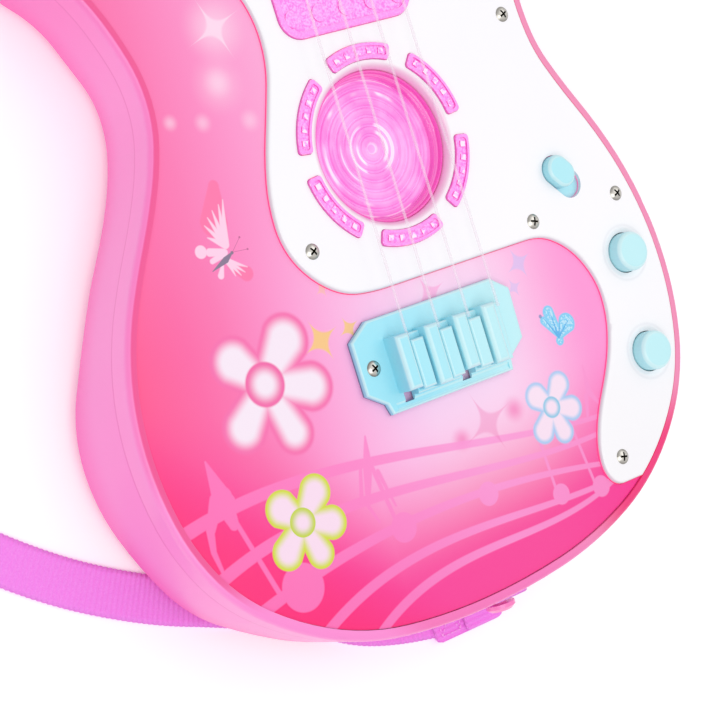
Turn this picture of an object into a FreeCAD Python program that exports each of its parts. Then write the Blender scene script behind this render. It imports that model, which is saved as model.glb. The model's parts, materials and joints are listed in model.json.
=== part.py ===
"""Toy electric guitar, lying on its flat back. Millimetres: +X to the viewer's right, +Y to the
headstock, +Z out of the front. The origin is on the back plane, under the speaker's centre."""
import FreeCAD, Part
import math
import os
from FreeCAD import Placement, Rotation, Vector

SIZES = {
    # casing, from the flat back upward
    "edge_height": 5.0, "parting_height": 22.5, "deck_under": 27.0, "deck_top": 29.0,
    "panel_top": 30.4, "rim_top": 31.2, "guard_top": 32.0,
    "wall": 2.2, "floor": 2.0, "rim_width": 3.1, "rim_round": 2.0, "guard_round": 1.1,
    "part_gap": 0.2,
    # speaker, its dish and the light windows round it
    "hole_radius": 22.7, "hole_round": 2.2, "dish_floor": 25.0, "dish_skin": 1.2,
    "dish_ring_pitch": 2.8,
    "deck_hole_radius": 31.5, "window_inner": 25.3, "window_outer": 30.2, "window_span": 46.0,
    "window_top": 32.9, "speaker_radius": 24.5,
    # buttons and slide switch
    "button_radius": 6.1, "button_height": 4.6, "button_travel": 2.0, "button_fit": 0.3,
    "button_dish": 7.9, "board_under": 17.0, "board_top": 18.6, "dome_height": 3.5,
    "knob_length": 10.8, "knob_width": 8.6, "knob_height": 3.4, "knob_travel": 4.6,
    "skirt_half": 10.6, "knob_peg": 1.0,
    # strings and neck
    "string_centre": 1.5, "string_radius": 0.45, "string_height": 37.0,
    "bridge_spacing": 11.55, "nut_spacing": 9.5, "bridge_line": -58.0, "nut_line": 288.0,
    "neck_start": 84.2, "neck_foot": 58.0, "board_low": 32.2, "board_high": 35.2,
    "neck_half_body": 23.2, "neck_half_nut": 21.0, "fret_height": 0.9, "fret_count": 17,
    # headstock
    "head_under": 17.0, "head_split": 29.5, "head_face": 31.7, "head_half": 31.0,
    "key_height": 23.5, "key_shaft": 2.5, "key_fit": 0.06,
    # strap and its lugs
    "strap_width": 14.0, "strap_thick": 1.2, "strap_lift": 0.05, "lug_height": 14.0,
    "lug_neck": 2.2, "lug_head": 4.6,
    # battery case
    "cell_radius": 7.0, "cell_length": 49.0, "cell_pitch": 14.4, "tray_top": 19.2,
    "door_outer": 0.4, "door_gap": 0.5,
}
doc = FreeCAD.newDocument("ToyGuitar")
sheet = doc.addObject("Spreadsheet::Sheet", "Size")
for row, (alias, value) in enumerate(SIZES.items(), start=1):
    sheet.set(f"A{row}", alias)
    sheet.set(f"B{row}", str(value))
    sheet.setAlias(f"B{row}", alias)
doc.recompute()
parts = []


def size(alias):
    """The value of one driving dimension, read from the sheet."""
    return float(sheet.get(alias))


def bind(item, prop, value):
    """Set a property to a number, or tie it to an expression of the sheet's cells."""
    item.setExpression(prop, str(value))


def sub_part(item, label):
    """Keep one finished object as the sub-part of that name."""
    item.Label = label
    parts.append(item)
    return item


# ---- outlines made of tangent arcs -------------------------------------------------------------

def heading_vector(degrees):
    return Vector(math.cos(math.radians(degrees)), math.sin(math.radians(degrees)), 0)


def arc_from_tangent(start, tangent, end):
    """One arc (start, end, centre, turn) that leaves start along tangent; centre None is a line."""
    normal = Vector(-tangent.y, tangent.x, 0)
    chord = end - start
    side = normal.dot(chord)
    if abs(side) < 1e-6 * chord.Length:
        return (start, end, None, 0)
    reach = chord.dot(chord) / (2 * side)
    return (start, end, start + normal * reach, 1 if reach > 0 else -1)


def tangent_arcs(start, leave, end, arrive):
    """Two arcs, tangent to each other, from start to end with the given directions."""
    chord = end - start
    both = leave + arrive
    spread = 2 * (1 - leave.dot(arrive))
    if spread < 1e-9:
        reach = chord.dot(chord) / (4 * chord.dot(arrive))
    else:
        along = chord.dot(both)
        reach = (math.sqrt(along * along + spread * chord.dot(chord)) - along) / spread
    middle = (start + end + (leave - arrive) * reach) * 0.5
    first = arc_from_tangent(start, leave, middle)
    back = arc_from_tangent(end, -arrive, middle)
    return [first, (middle, end, back[2], -back[3])]


class Outline:
    """A closed, counter-clockwise run of arcs and lines: (start, end, centre, turn)."""

    def __init__(self, pieces):
        self.pieces = pieces

    @classmethod
    def through(cls, nodes):
        """Through nodes (x, y, heading), or (x, y, heading in, heading out) at a corner."""
        pieces = []
        for here, there in zip(nodes, nodes[1:] + nodes[:1]):
            pieces += tangent_arcs(Vector(here[0], here[1], 0), heading_vector(here[-1]),
                                   Vector(there[0], there[1], 0), heading_vector(there[2]))
        return cls(pieces)

    @classmethod
    def polygon(cls, points):
        ends = [Vector(x, y, 0) for x, y in points]
        return cls([(a, b, None, 0) for a, b in zip(ends, ends[1:] + ends[:1])])

    def moved(self, distance):
        """The outline moved outward by distance, square to itself. It has to be smooth."""
        moved = []
        for start, end, centre, turn in self.pieces:
            if centre is None:
                along = (end - start).normalize()
                out = Vector(along.y, -along.x, 0) * distance
                moved.append((start + out, end + out, None, 0))
            else:
                grow = 1 + turn * distance / (start - centre).Length
                moved.append((centre + (start - centre) * grow, centre + (end - centre) * grow,
                              centre, turn))
        return Outline(moved)

    def geometry(self):
        """The pieces as sketch geometry."""
        shapes = []
        for start, end, centre, turn in self.pieces:
            if centre is None:
                shapes.append(Part.LineSegment(start, end))
                continue
            low, high = (start, end) if turn > 0 else (end, start)
            angles = [math.atan2(p.y - centre.y, p.x - centre.x) for p in (low, high)]
            circle = Part.Circle(centre, Vector(0, 0, 1), (start - centre).Length)
            shapes.append(Part.ArcOfCircle(circle, *angles))
        return shapes


def sketch(name, outlines, height, circles=()):
    """A sketch of closed outlines and circles (x, y, radius), lying at a height."""
    drawn = doc.addObject("Sketcher::SketchObject", name)
    for outline in outlines:
        drawn.addGeometry(outline.geometry(), False)
    for x, y, radius in circles:
        drawn.addGeometry(Part.Circle(Vector(x, y, 0), Vector(0, 0, 1), radius), False)
    bind(drawn, "Placement.Base.z", height)
    return drawn


def extrude(profile, length, direction=(0, 0, 1)):
    """A solid from a sketch, pushed along a direction."""
    block = doc.addObject("Part::Extrusion", profile.Name + "_block")
    block.Base = profile
    block.DirMode = "Custom"
    block.Dir = Vector(*direction)
    block.Solid = True
    block.FaceMakerClass = "Part::FaceMakerBullseye"
    bind(block, "LengthFwd", length)
    return block


def slab(name, outlines, low, high, circles=()):
    """A slab with the outlines' shape between two heights, which may be expressions."""
    return extrude(sketch(name + "_sketch", outlines, low, circles), f"({high}) - ({low})")


def cylinder(name, radius, low, length, x=0, y=0, axis=(0, 0, 1)):
    """A cylinder that starts at (x, y, low) and runs along an axis."""
    item = doc.addObject("Part::Cylinder", name)
    item.Placement = Placement(Vector(0, 0, 0), Rotation(Vector(0, 0, 1), Vector(*axis)))
    for prop, value in (("Radius", radius), ("Height", length), ("Placement.Base.x", x),
                        ("Placement.Base.y", y), ("Placement.Base.z", low)):
        bind(item, prop, value)
    return item


def box(name, x, y, z, turn=0.0):
    """A box between the given pairs of x, y and z, turned about its middle's vertical."""
    item = doc.addObject("Part::Box", name)
    for prop, (low, high) in (("Length", x), ("Width", y), ("Height", z)):
        bind(item, prop, f"({high}) - ({low})")
    for letter, (low, _) in zip("xyz", (x, y, z)):
        bind(item, "Placement.Base." + letter, low)
    if turn:
        middle = Vector((x[0] + x[1]) / 2, (y[0] + y[1]) / 2, 0)
        spin = Placement(Vector(0, 0, 0), Rotation(Vector(0, 0, 1), turn), middle)
        for letter in "xy":
            item.setExpression("Placement.Base." + letter, None)
        corner = spin.multVec(Vector(x[0], y[0], 0))
        item.Placement = Placement(corner, Rotation(Vector(0, 0, 1), turn))
        bind(item, "Placement.Base.z", z[0])
    return item


def fuse(name, *items):
    joined = doc.addObject("Part::MultiFuse", name)
    joined.Shapes = list(items)
    joined.Refine = False
    return joined


def common(name, *items):
    shared = doc.addObject("Part::MultiCommon", name)
    shared.Shapes = list(items)
    return shared


def group(name, *items):
    """Separate solids kept together as one sub-part."""
    together = doc.addObject("Part::Compound", name)
    together.Links = list(items)
    return together


def cut(name, base, *tools):
    """The base less the tools; it has to lose volume."""
    tool = tools[0] if len(tools) == 1 else group(name + "_tools", *tools)
    result = doc.addObject("Part::Cut", name)
    result.Base = base
    result.Tool = tool
    doc.recompute()
    if result.Shape.Volume >= base.Shape.Volume - 1e-6:
        raise ValueError(name + " cut nothing")
    return result


def rounded(name, base, radius, wanted):
    """The base with a fillet on every edge for which wanted(edge) is true."""
    doc.recompute()
    chosen = [index for index, edge in enumerate(base.Shape.Edges, start=1) if wanted(edge)]
    item = doc.addObject("Part::Fillet", name)
    item.Base = base
    item.Edges = [(index, radius, radius) for index in chosen]
    doc.recompute()
    return item


def at_height(height, within=None):
    """Edges that lie at a height, and inside a box (x0, y0, x1, y1) if one is given."""
    def test(edge):
        frame = edge.BoundBox
        if abs(frame.ZMin - height) > 1e-4 or abs(frame.ZMax - height) > 1e-4:
            return False
        if within is None:
            return True
        return (frame.XMin > within[0] and frame.YMin > within[1]
                and frame.XMax < within[2] and frame.YMax < within[3])
    return test


def loft(name, sections):
    """A straight-sided loft through sketches."""
    item = doc.addObject("Part::Loft", name)
    item.Sections = sections
    item.Solid = True
    item.Ruled = True
    return item


def turned(name, profile, place, axis=(0, 0, 1)):
    """A body of revolution: a closed profile of (radius, height), turned about the height."""
    body = doc.addObject("PartDesign::Body", name)
    drawn = body.newObject("Sketcher::SketchObject", name + "_profile")
    plane = next(item for item in body.Origin.OriginFeatures if item.Role == "XZ_Plane")
    drawn.AttachmentSupport = [(plane, "")]
    drawn.MapMode = "FlatFace"
    drawn.addGeometry(Outline.polygon(profile).geometry(), False)
    spun = body.newObject("PartDesign::Revolution", name + "_turned")
    spun.Profile = drawn
    spun.ReferenceAxis = (drawn, ["V_Axis"])
    spun.Angle = 360
    body.Placement = Placement(Vector(*place), Rotation(Vector(0, 0, 1), Vector(*axis)))
    doc.recompute()
    return body


def drilled(name, spots, radius, low, high):
    """Drill tools at several (x, y) spots."""
    return [cylinder(f"{name}_{n}", radius, low, f"({high}) - ({low})", x, y)
            for n, (x, y) in enumerate(spots, start=1)]


def screws(label, spots, seat, point, down):
    """Cross-head screws at (x, y) spots. Their heads sit on seat and their tips are at point."""
    head_radius, head_height, shank_radius, slot, slot_reach = 2.35, 0.9, 1.25, 0.6, 1.35
    dome = Part.makeSphere((head_radius ** 2 + head_height ** 2) / (2 * head_height))
    dome.translate(Vector(0, 0, head_height - dome.BoundBox.ZMax))
    head = Part.makeCylinder(head_radius, head_height).common(dome)
    for length, width in ((slot_reach, slot / 2), (slot / 2, slot_reach)):
        recess = Part.makeBox(2 * length, 2 * width, head_height)
        recess.translate(Vector(-length, -width, head_height * 0.35))
        head = head.cut(recess)
    shank = Part.makeCylinder(shank_radius, abs(point - seat))
    shank.translate(Vector(0, 0, -abs(point - seat)))
    screw = head.fuse(shank)
    if down:
        screw.rotate(Vector(0, 0, 0), Vector(1, 0, 0), 180)
    copies = []
    for number, (x, y) in enumerate(spots):
        copy = screw.copy()
        copy.rotate(Vector(0, 0, 0), Vector(0, 0, 1), 25 + 47 * number)
        copy.translate(Vector(x, y, seat))
        copies.append(copy)
    item = doc.addObject("Part::Feature", label)
    item.Shape = copies[0] if len(copies) == 1 else Part.makeCompound(copies)
    return sub_part(item, label)


# ---- the plan of the casing --------------------------------------------------------------------

# (x, y, heading, flare of the back edge, inset of the flat back)
BODY_NODES = [
    (-12, -138.6, 0, 0, 30), (48.6, -128.8, 22, 0.5, 30), (79.9, -104.6, 53, 2, 28),
    (93.2, -60, 90, 4, 26), (84.7, -18.3, 112.6, 2, 18), (70.3, 11, 114, 0, 12),
    (66.6, 31, 90, 0, 12), (71.5, 55, 68, 1.5, 12), (79.5, 84, 97, 3.5, 12),
    (73, 111, 128, 2, 10), (60, 120, 180, 1, 8), (49.5, 110, 250, 0, 6), (43, 95, 238, 0, 6),
    (30, 84, 180, 0, 6), (-27, 84, 180, 0, 6), (-40, 95, 118, 0, 6), (-46, 116, 100, 0, 6),
    (-60, 136, 180, 1, 8), (-73, 128, 232, 2.5, 10), (-86, 105, 247, 4, 12),
    (-92, 80, 272, 4.5, 12), (-79, 52.5, 293, 1, 12), (-73.3, 29.5, 270, -0.5, 12),
    (-80, 6, 243, -0.5, 14), (-95.6, -21.5, 242, 0, 18), (-106.2, -63, 270, 4.7, 26),
    (-96.9, -101.5, 300, 1.8, 30), (-68.5, -127.2, 331.7, 0, 30),
]


def body_outline(shift=0.0, column=None, sign=1):
    """The body's plan, its nodes shifted outward by a column of the table and by shift."""
    nodes = []
    for node in BODY_NODES:
        out = heading_vector(node[2] - 90) * (shift + (sign * node[column] if column else 0))
        nodes.append((node[0] + out.x, node[1] + out.y, node[2]))
    return Outline.through(nodes)


plan = body_outline()
CASE_SCREWS = [(0, -124), (-70, -96), (-88, -52), (-62, 22), (-80, 82), (66, 78), (53, 4), (64, -106)]
NECK_SCREWS = [(-6, 73), (9, 73)]
GUARD_SCREWS = [(56.5, 27.9), (44.8, -35.1), (79.7, -34.8), (51.7, -112.5), (-35.1, -23.4),
                (-36, 70), (62, 104)]
BRIDGE_SCREWS = [(-27.4, -60.6)]
BUTTONS = [(76.3, -53.3), (74.1, -84.9)]
SWITCH = (60.5, -24.7)
SWITCH_TURN = -50.0
TAIL_LUG = (4.0, -138.2)
HORN_LUG = (-60.0, 136.4)
TONGUE_X, TONGUE_Y, TONGUE_Z = (-14, 17), (62, 84.2), (12, 26.8)
DOOR_X, DOOR_Y = (-29, 29), (-100, -57)
DOOR_EAR = (0.0, -103.0)
LENS_BOX = (-23.2, 35.2, 24.6, 60.0)
BRIDGE_HOLE = (-20.0, -69.4, 20.0, -55.0)


def oblong(centre, length, width, turn):
    """A slot's outline: two straight sides and two round ends."""
    along = heading_vector(turn) * ((length - width) / 2)
    side = heading_vector(turn + 90) * (width / 2)
    middle = Vector(centre[0], centre[1], 0)
    corners = [middle - along - side, middle + along - side, middle + along + side,
               middle - along + side]
    ends = [(middle + along, 1), (middle - along, 1)]
    return Outline([(corners[0], corners[1], None, 0), (corners[1], corners[2], *ends[0]),
                    (corners[2], corners[3], None, 0), (corners[3], corners[0], *ends[1])])


def soft_rectangle(frame, radius):
    """A rectangle (x0, y0, x1, y1) with round corners."""
    x0, y0, x1, y1 = frame
    r = radius
    return Outline.through([
        (x0 + r, y0, 0), (x1 - r, y0, 0), (x1, y0 + r, 90), (x1, y1 - r, 90),
        (x1 - r, y1, 180), (x0 + r, y1, 180), (x0, y1 - r, 270), (x0, y0 + r, 270)])


def ring_window(angle, spare=0.0):
    """One curved light window's outline, with round corners, centred on an angle."""
    inner, outer = size("window_inner") - spare, size("window_outer") + spare
    radius = 1.2
    half = math.radians(size("window_span") / 2) + spare / inner
    nodes = []
    for reach, side in ((inner, 1), (outer, -1)):
        pull = (radius if reach == inner else -radius) + reach
        trim = math.asin(radius / pull)
        for end in (side, -side):
            turn = math.radians(angle) + end * (half - trim)
            edge = math.radians(angle) + end * half
            tangent = math.degrees(turn) - 90 * side
            flank = math.degrees(edge) + (180 if end == side else 0)
            flank += 180 if reach == outer else 0
            corner = (reach * math.cos(turn), reach * math.sin(turn), tangent)
            along = math.sqrt(pull * pull - radius * radius)
            straight = (along * math.cos(edge), along * math.sin(edge), flank)
            nodes += [straight, corner] if end == side else [corner, straight]
    return Outline.through(nodes)


# ---- casing ------------------------------------------------------------------------------------

def build_back_shell():
    """Deep tray: flat back, bevelled edge, flared sides, with screw bosses inside."""
    outer = loft("back_outer", [sketch("back_flat", [body_outline(0, 4, -1)], 0),
                                sketch("back_edge", [body_outline(0, 3)], "Size.edge_height"),
                                sketch("back_lip", [plan], "Size.parting_height")])
    wall = size("wall")
    inner = loft("back_inner", [
        sketch("inner_flat", [body_outline(-1, 4, -1)], "Size.floor"),
        sketch("inner_edge", [body_outline(-wall - 0.2, 3)], "Size.edge_height + 1.5"),
        sketch("inner_lip", [plan.moved(-wall)], "Size.parting_height")])
    bosses = drilled("case_boss", CASE_SCREWS, 3.8, 1.0, "Size.parting_height")
    seats = drilled("neck_boss", NECK_SCREWS, 3.8, 1.0, 11.9)
    tray = cut("back_tray", outer, inner)
    posts = common("back_posts", outer, group("back_boss_set", *bosses, *seats))
    body = fuse("back_body", tray, posts)
    tools = drilled("case_hole", CASE_SCREWS, 1.45, -1, "Size.parting_height + 1")
    tools += drilled("case_sink", CASE_SCREWS, 2.8, -1, 8.0)
    tools += drilled("neck_hole", NECK_SCREWS, 1.45, -1, 13)
    tools += drilled("neck_sink", NECK_SCREWS, 2.8, -1, 6.0)
    tools.append(box("door_opening", DOOR_X, DOOR_Y, (-1, "Size.floor + 0.5")))
    tools.append(cylinder("ear_opening", 4.3, -1, "Size.floor + 1.5", *DOOR_EAR))
    tools.append(box("tongue_slot", (TONGUE_X[0] - 0.2, TONGUE_X[1] + 0.2), (78, 90),
                     (TONGUE_Z[0] - 0.2, 30)))
    tools.append(cylinder("tail_lug_hole", 1.6, "Size.lug_height", 10, TAIL_LUG[0],
                          TAIL_LUG[1] + 7, (0, -1, 0)))
    tools.append(cylinder("horn_lug_hole", 1.6, "Size.lug_height", 10, HORN_LUG[0],
                          HORN_LUG[1] - 7, (0, 1, 0)))
    sub_part(cut("back_shell", body, *tools), "back_shell")


def build_front_shell():
    """Shallow front half: a round-topped rim, a deck for the panel, and screw bosses below."""
    outer = slab("front_outer", [plan], "Size.parting_height", "Size.rim_top")
    round_rim = rounded("front_round", outer, size("rim_round"), at_height(size("rim_top")))
    tools = [
        slab("front_cavity", [plan.moved(-size("wall"))], "Size.parting_height - 1",
             "Size.deck_under"),
        slab("panel_recess", [plan.moved(-size("rim_width"))], "Size.deck_top",
             "Size.rim_top + 1")]
    hollow = cut("front_hollow", round_rim, *tools)
    bosses = drilled("front_boss", CASE_SCREWS, 3.2, "Size.parting_height + 0.1",
                     "Size.deck_under + 0.5")
    guard_bosses = drilled("guard_boss", GUARD_SCREWS + BRIDGE_SCREWS, 2.6,
                           "Size.parting_height + 0.5", "Size.deck_under + 0.5")
    posts = common("front_posts", outer, group("front_boss_set", *bosses, *guard_bosses))
    body = fuse("front_body", hollow, posts)
    holes = drilled("front_case_hole", CASE_SCREWS, 1.3, 20, 28.3)
    holes += drilled("front_guard_hole", GUARD_SCREWS + BRIDGE_SCREWS, 1.3, 20, 40)
    holes.append(cylinder("deck_hole", "Size.deck_hole_radius", 20, 20))
    x0, y0, x1, y1 = LENS_BOX
    holes.append(box("deck_lens", (x0 + 2, x1 - 2), (y0 + 2, y1 - 2), (20, 40)))
    x0, y0, x1, y1 = BRIDGE_HOLE
    holes.append(box("deck_bridge", (x0, x1), (y0, y1), (20, 40)))
    holes += drilled("deck_button", BUTTONS, 8.8, 20, 40)
    peg_reach = size("knob_peg") + 0.8
    slot_half = peg_reach + size("knob_travel") / 2
    holes.append(box("deck_switch", (SWITCH[0] - slot_half, SWITCH[0] + slot_half),
                     (SWITCH[1] - peg_reach, SWITCH[1] + peg_reach), (20, 40), SWITCH_TURN))
    holes.append(box("front_tongue_slot", (TONGUE_X[0] - 0.2, TONGUE_X[1] + 0.2), (78, 90),
                     (20, TONGUE_Z[1] + 0.1)))
    sub_part(cut("front_shell", body, *holes), "front_shell")


GUARD_NODES = [
    (130, -120.4, 180, 180), (50.2, -120.4, 180), (43.9, -112.4, 90), (48.2, -98.1, 61),
    (56.7, -84.9, 59), (63.1, -64.2, 90), (59.1, -50.9, 121), (50.4, -42.3, 149),
    (40.5, -39.8, 180), (-13, -39.8, 180), (-31.7, -35.6, 146), (-43.9, -14, 90),
    (-38, 11.2, 67.5), (-30, 40, 92), (-37, 62, 113), (-54, 92, 122), (-65, 113, 92),
    (-57, 121.5, 0), (-47.5, 114, 290), (-36, 96, 310, 90), (-36, 150, 90, 0),
    (130, 150, 0, 270)]


def guard_solid(name, low, high, spare=0.0):
    """The pickguard's slab between two heights. Its free edge follows the nodes, moved out by
    spare; the nodes outside the body only close the outline, and the casing's plan trims them."""
    nodes = []
    for node in GUARD_NODES:
        out = heading_vector(node[2] + 90) * (spare if len(node) == 3 else 0)
        nodes.append((node[0] + out.x, node[1] + out.y) + node[2:])
    nodes[0] = nodes[0][:1] + (nodes[1][1],) + nodes[0][2:]
    return common(name, slab(name + "_region", [Outline.through(nodes)], low, high),
                  slab(name + "_plan", [plan.moved(-size("rim_width") - 0.3 + spare)], low, high))


def lens_outline(spare=0.0):
    x0, y0, x1, y1 = LENS_BOX
    return soft_rectangle((x0 - spare, y0 - spare, x1 + spare, y1 + spare), 7.0 + spare)


def build_front_panel():
    """The printed panel in the front shell's recess, cut away for the pickguard and bridge."""
    sheet_solid = slab("panel_sheet", [plan.moved(-size("rim_width") - 0.15)], "Size.deck_top",
                       "Size.panel_top")
    seat = guard_solid("panel_seat", "Size.deck_top - 1", "Size.panel_top + 1", size("part_gap"))
    x0, y0, x1, y1 = BRIDGE_HOLE
    hole = box("panel_bridge", (x0, x1), (y0, y1), (20, 40))
    screw_holes = drilled("panel_hole", BRIDGE_SCREWS, 1.3, 20, 40)
    sub_part(cut("front_panel", sheet_solid, seat, hole, *screw_holes), "front_panel")


def funnel_profile():
    """The speaker hole: a straight wall that rounds outward up to the front."""
    radius, top, bend = size("hole_radius"), size("guard_top"), size("hole_round")
    steps = 8
    profile = [(0, 20), (radius, 20)]
    for step in range(steps + 1):
        angle = math.pi / 2 * step / steps
        profile.append((radius + bend * (1 - math.cos(angle)), top - bend * (1 - math.sin(angle))))
    return profile + [(radius + bend, top + 1), (0, top + 1)]


def build_pickguard():
    """White plate with a rounded edge, its speaker hole, light slots, dishes and switch slot."""
    plate = guard_solid("guard_plate", "Size.deck_top", "Size.guard_top")
    soft = rounded("guard_soft", plate, size("guard_round"), at_height(size("guard_top")))
    tools = [turned("guard_hole", funnel_profile(), (0, 0, 0))]
    for number in range(6):
        window = ring_window(30 + 60 * number, size("part_gap") / 2)
        tools.append(slab(f"guard_window_{number}", [window], 20, 40))
    tools.append(slab("guard_lens", [lens_outline(size("part_gap") / 2)], 20, 40))
    tools += drilled("guard_button", BUTTONS, "Size.button_radius + Size.button_fit", 20, 40)
    tools.append(slab("guard_switch", [oblong(SWITCH, size("knob_length") + size("knob_travel")
                                              + 0.6, size("knob_width") + 0.6, SWITCH_TURN)],
                      20, 40))
    skirt_room = size("skirt_half") + size("knob_travel") / 2 + 0.3
    tools.append(box("guard_skirt", (SWITCH[0] - skirt_room, SWITCH[0] + skirt_room),
                     (SWITCH[1] - 5.6, SWITCH[1] + 5.6), (20, "Size.deck_top + 1.5"), SWITCH_TURN))
    tools += drilled("guard_screw", GUARD_SCREWS, 1.3, 20, 40)
    dish_ball = 40.0
    depth = dish_ball - math.sqrt(dish_ball ** 2 - size("button_dish") ** 2)
    for number, (x, y) in enumerate(BUTTONS, start=1):
        ball = doc.addObject("Part::Sphere", f"guard_dish_{number}")
        ball.Radius = dish_ball
        ball.Placement.Base = Vector(x, y, 0)
        bind(ball, "Placement.Base.z", f"Size.guard_top + {dish_ball - depth}")
        tools.append(ball)
    sub_part(cut("pickguard", soft, *tools), "pickguard")


# ---- windows and speaker -----------------------------------------------------------------------

def build_windows():
    """Six curved windows round the speaker and the one under the strings, with raised borders."""
    low, top = size("deck_top") + 0.1, size("window_top")
    dip_depth, border, tile_pitch, tile_half = 0.55, 1.0, 8.4, 0.85
    tile_ring = (size("window_inner") + size("window_outer")) / 2
    tile_height = (top - dip_depth - 0.1, top - 0.15)
    windows = []
    for number in range(6):
        heading = 30 + 60 * number
        block = slab(f"ring_window_{number}", [ring_window(heading)], low, top)
        soft = rounded(f"ring_soft_{number}", block, 0.5, at_height(top))
        dip = slab(f"ring_dip_{number}", [ring_window(heading, -border)], top - dip_depth, top + 1)
        pieces = [cut(f"ring_dished_{number}", soft, dip)]
        for tile in range(-2, 3):
            angle = heading + tile * tile_pitch
            x, y, _ = heading_vector(angle) * tile_ring
            pieces.append(box(f"ring_tile_{number}_{tile + 2}", (x - tile_half, x + tile_half),
                              (y - tile_half, y + tile_half), tile_height, angle))
        windows.append(fuse(f"ring_set_{number}", *pieces))
    sub_part(group("ring_lenses", *windows), "ring_lenses")
    block = slab("lens_block", [lens_outline()], low, top)
    soft = rounded("lens_soft", block, 0.7, at_height(top))
    inner = lens_outline(-2.0)
    dip = slab("lens_dip", [inner], top - 0.5, top + 1)
    dished = cut("lens_dished", soft, dip)
    x0, y0, x1, y1 = LENS_BOX
    bosses = []
    columns, rows = 5, 2
    for column in range(columns):
        for row in range(rows):
            x = x0 + (x1 - x0) * (column + 0.5) / columns
            y = y0 + (y1 - y0) * (row + 0.5) / rows
            bosses.append(cylinder(f"lens_boss_{column}_{row}", 2.6, top - 0.6, 0.5, x, y))
    sub_part(fuse("pickup_lens", dished, *bosses), "pickup_lens")


def build_speaker():
    """The clear dish with its stepped wall and ringed floor, then the loudspeaker below it:
    frame, paper cone and magnet, all turned shapes."""
    rim, skin = size("hole_radius") - 0.25, size("dish_skin")
    floor, pitch = size("dish_floor"), size("dish_ring_pitch")
    flange = size("deck_hole_radius") - 0.6
    profile = [(0, floor - skin), (rim, floor - skin), (rim, 27.4), (flange, 27.4),
               (flange, 28.8), (rim, 28.8), (rim, 29.5), (rim - 0.5, 29.5), (rim - 0.5, 28.2),
               (rim - 0.9, 28.0), (rim - 0.9, 26.9), (rim - 1.3, 26.7), (rim - 1.3, floor)]
    ridge, ring_count, ring_half = 0.55, 7, pitch * 0.42
    if ring_count * pitch + ring_half >= rim - 1.3:
        raise ValueError("the outermost ring of the dish would run into its wall")
    for count in range(ring_count, 0, -1):
        for share in (1.0, 0.7, 0.0, -0.7, -1.0):
            rise = ridge * math.sqrt(max(0.0, 1 - share * share))
            profile.append((count * pitch + share * ring_half, floor + rise))
    profile.append((0, floor))
    sub_part(turned("speaker_dish", profile, (0, 0, 0)), "speaker_dish")
    outer, place = size("speaker_radius"), (0, 0, -2.3)
    frame = [(outer, 24.9), (outer, 23.5), (outer - 3, 23.5), (14, 14.2), (11.6, 14.2),
             (11.6, 15.4), (13.4, 15.4), (outer - 4.2, 24.9)]
    sub_part(turned("speaker_frame", frame, place), "speaker_frame")
    cone = [(outer - 4.6, 25.2), (outer - 4.6, 24.6), (12.6, 17.2), (7, 16.4), (0, 19.0),
            (0, 19.6), (6.6, 17.2), (12.2, 17.8), (outer - 5.2, 25.2)]
    sub_part(turned("speaker_cone", cone, place), "speaker_cone")
    magnet = [(0, 6.2), (11, 6.2), (11, 14.0), (5, 14.0), (5, 15.6), (0, 15.6)]
    sub_part(turned("speaker_magnet", magnet, place), "speaker_magnet")


# ---- bridge ------------------------------------------------------------------------------------

def build_bridge():
    """Eight-sided plate with a turned-down lip; four tall ribs with low saddles between them."""
    plate_top, base_top, saddle_top, rib_top, skin = 32.8, 35.4, 38.5, 39.6, 1.0
    plate = slab("bridge_plate", [Outline.polygon([
        (-25.2, -75.2), (21.0, -75.2), (21.4, -71.6), (27.8, -67.0), (28.2, -51.4), (22.2, -47.0),
        (-25.2, -47.0), (-32.2, -51.6), (-32.2, -67.6), (-26.2, -71.8)])],
        "Size.panel_top", plate_top)
    soft = rounded("bridge_soft", plate, 1.0, at_height(plate_top))
    rib_pitch, rib_half, first_rib = 10.9, 2.5, -19.0
    base = box("bridge_base", (-21.5, 20.2), (-71.6, -54.0), (plate_top - 0.5, base_top))
    pieces = [soft, rounded("bridge_base_soft", base, 0.7, at_height(base_top))]
    tools = [cylinder("bridge_groove", 1.6, plate_top + 1.1, 43.0, -23.5, -73.4, (1, 0, 0))]
    for number in range(4):
        middle = first_rib + rib_pitch * number
        tall = number % 2 == 0
        rib = box(f"bridge_rib_{number}", (middle - rib_half, middle + rib_half),
                  (-69.8 if tall else -71.2, -53.4), (plate_top - 0.9, rib_top))
        pieces.append(rounded(f"bridge_rib_soft_{number}", rib, 1.7, at_height(rib_top)))
        if tall:
            # a slot through the plate, cleared above it and hollowed below it to a thin skin
            tools += [box(f"bridge_{cut_name}_{number}", (middle + low, middle + high), y, z)
                      for cut_name, low, high, y, z in (
                          ("slot", -1.0, 2.4, (-73.0, -69.8), (20, 45)),
                          ("notch", -3.4, 2.4, (-74.0, -69.8), (plate_top, 45)),
                          ("pocket", -3.4, 5.4, (-74.0, -69.6), (20, plate_top - skin)))]
        if number < 3:
            saddle_low, saddle_high = middle + rib_half + 0.5, middle + rib_pitch - rib_half - 0.7
            step = box(f"bridge_step_{number}", (saddle_low, saddle_high), (-70.6, -56.0),
                       (plate_top - 0.7, saddle_top))
            pieces.append(rounded(f"bridge_step_soft_{number}", step, 1.0,
                                  at_height(saddle_top)))
    body = fuse("bridge_body", *pieces)
    tools += drilled("bridge_screw_hole", BRIDGE_SCREWS, 1.3, 20, 45)
    sub_part(cut("bridge", body, *tools), "bridge")


# ---- buttons and switch ------------------------------------------------------------------------

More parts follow.
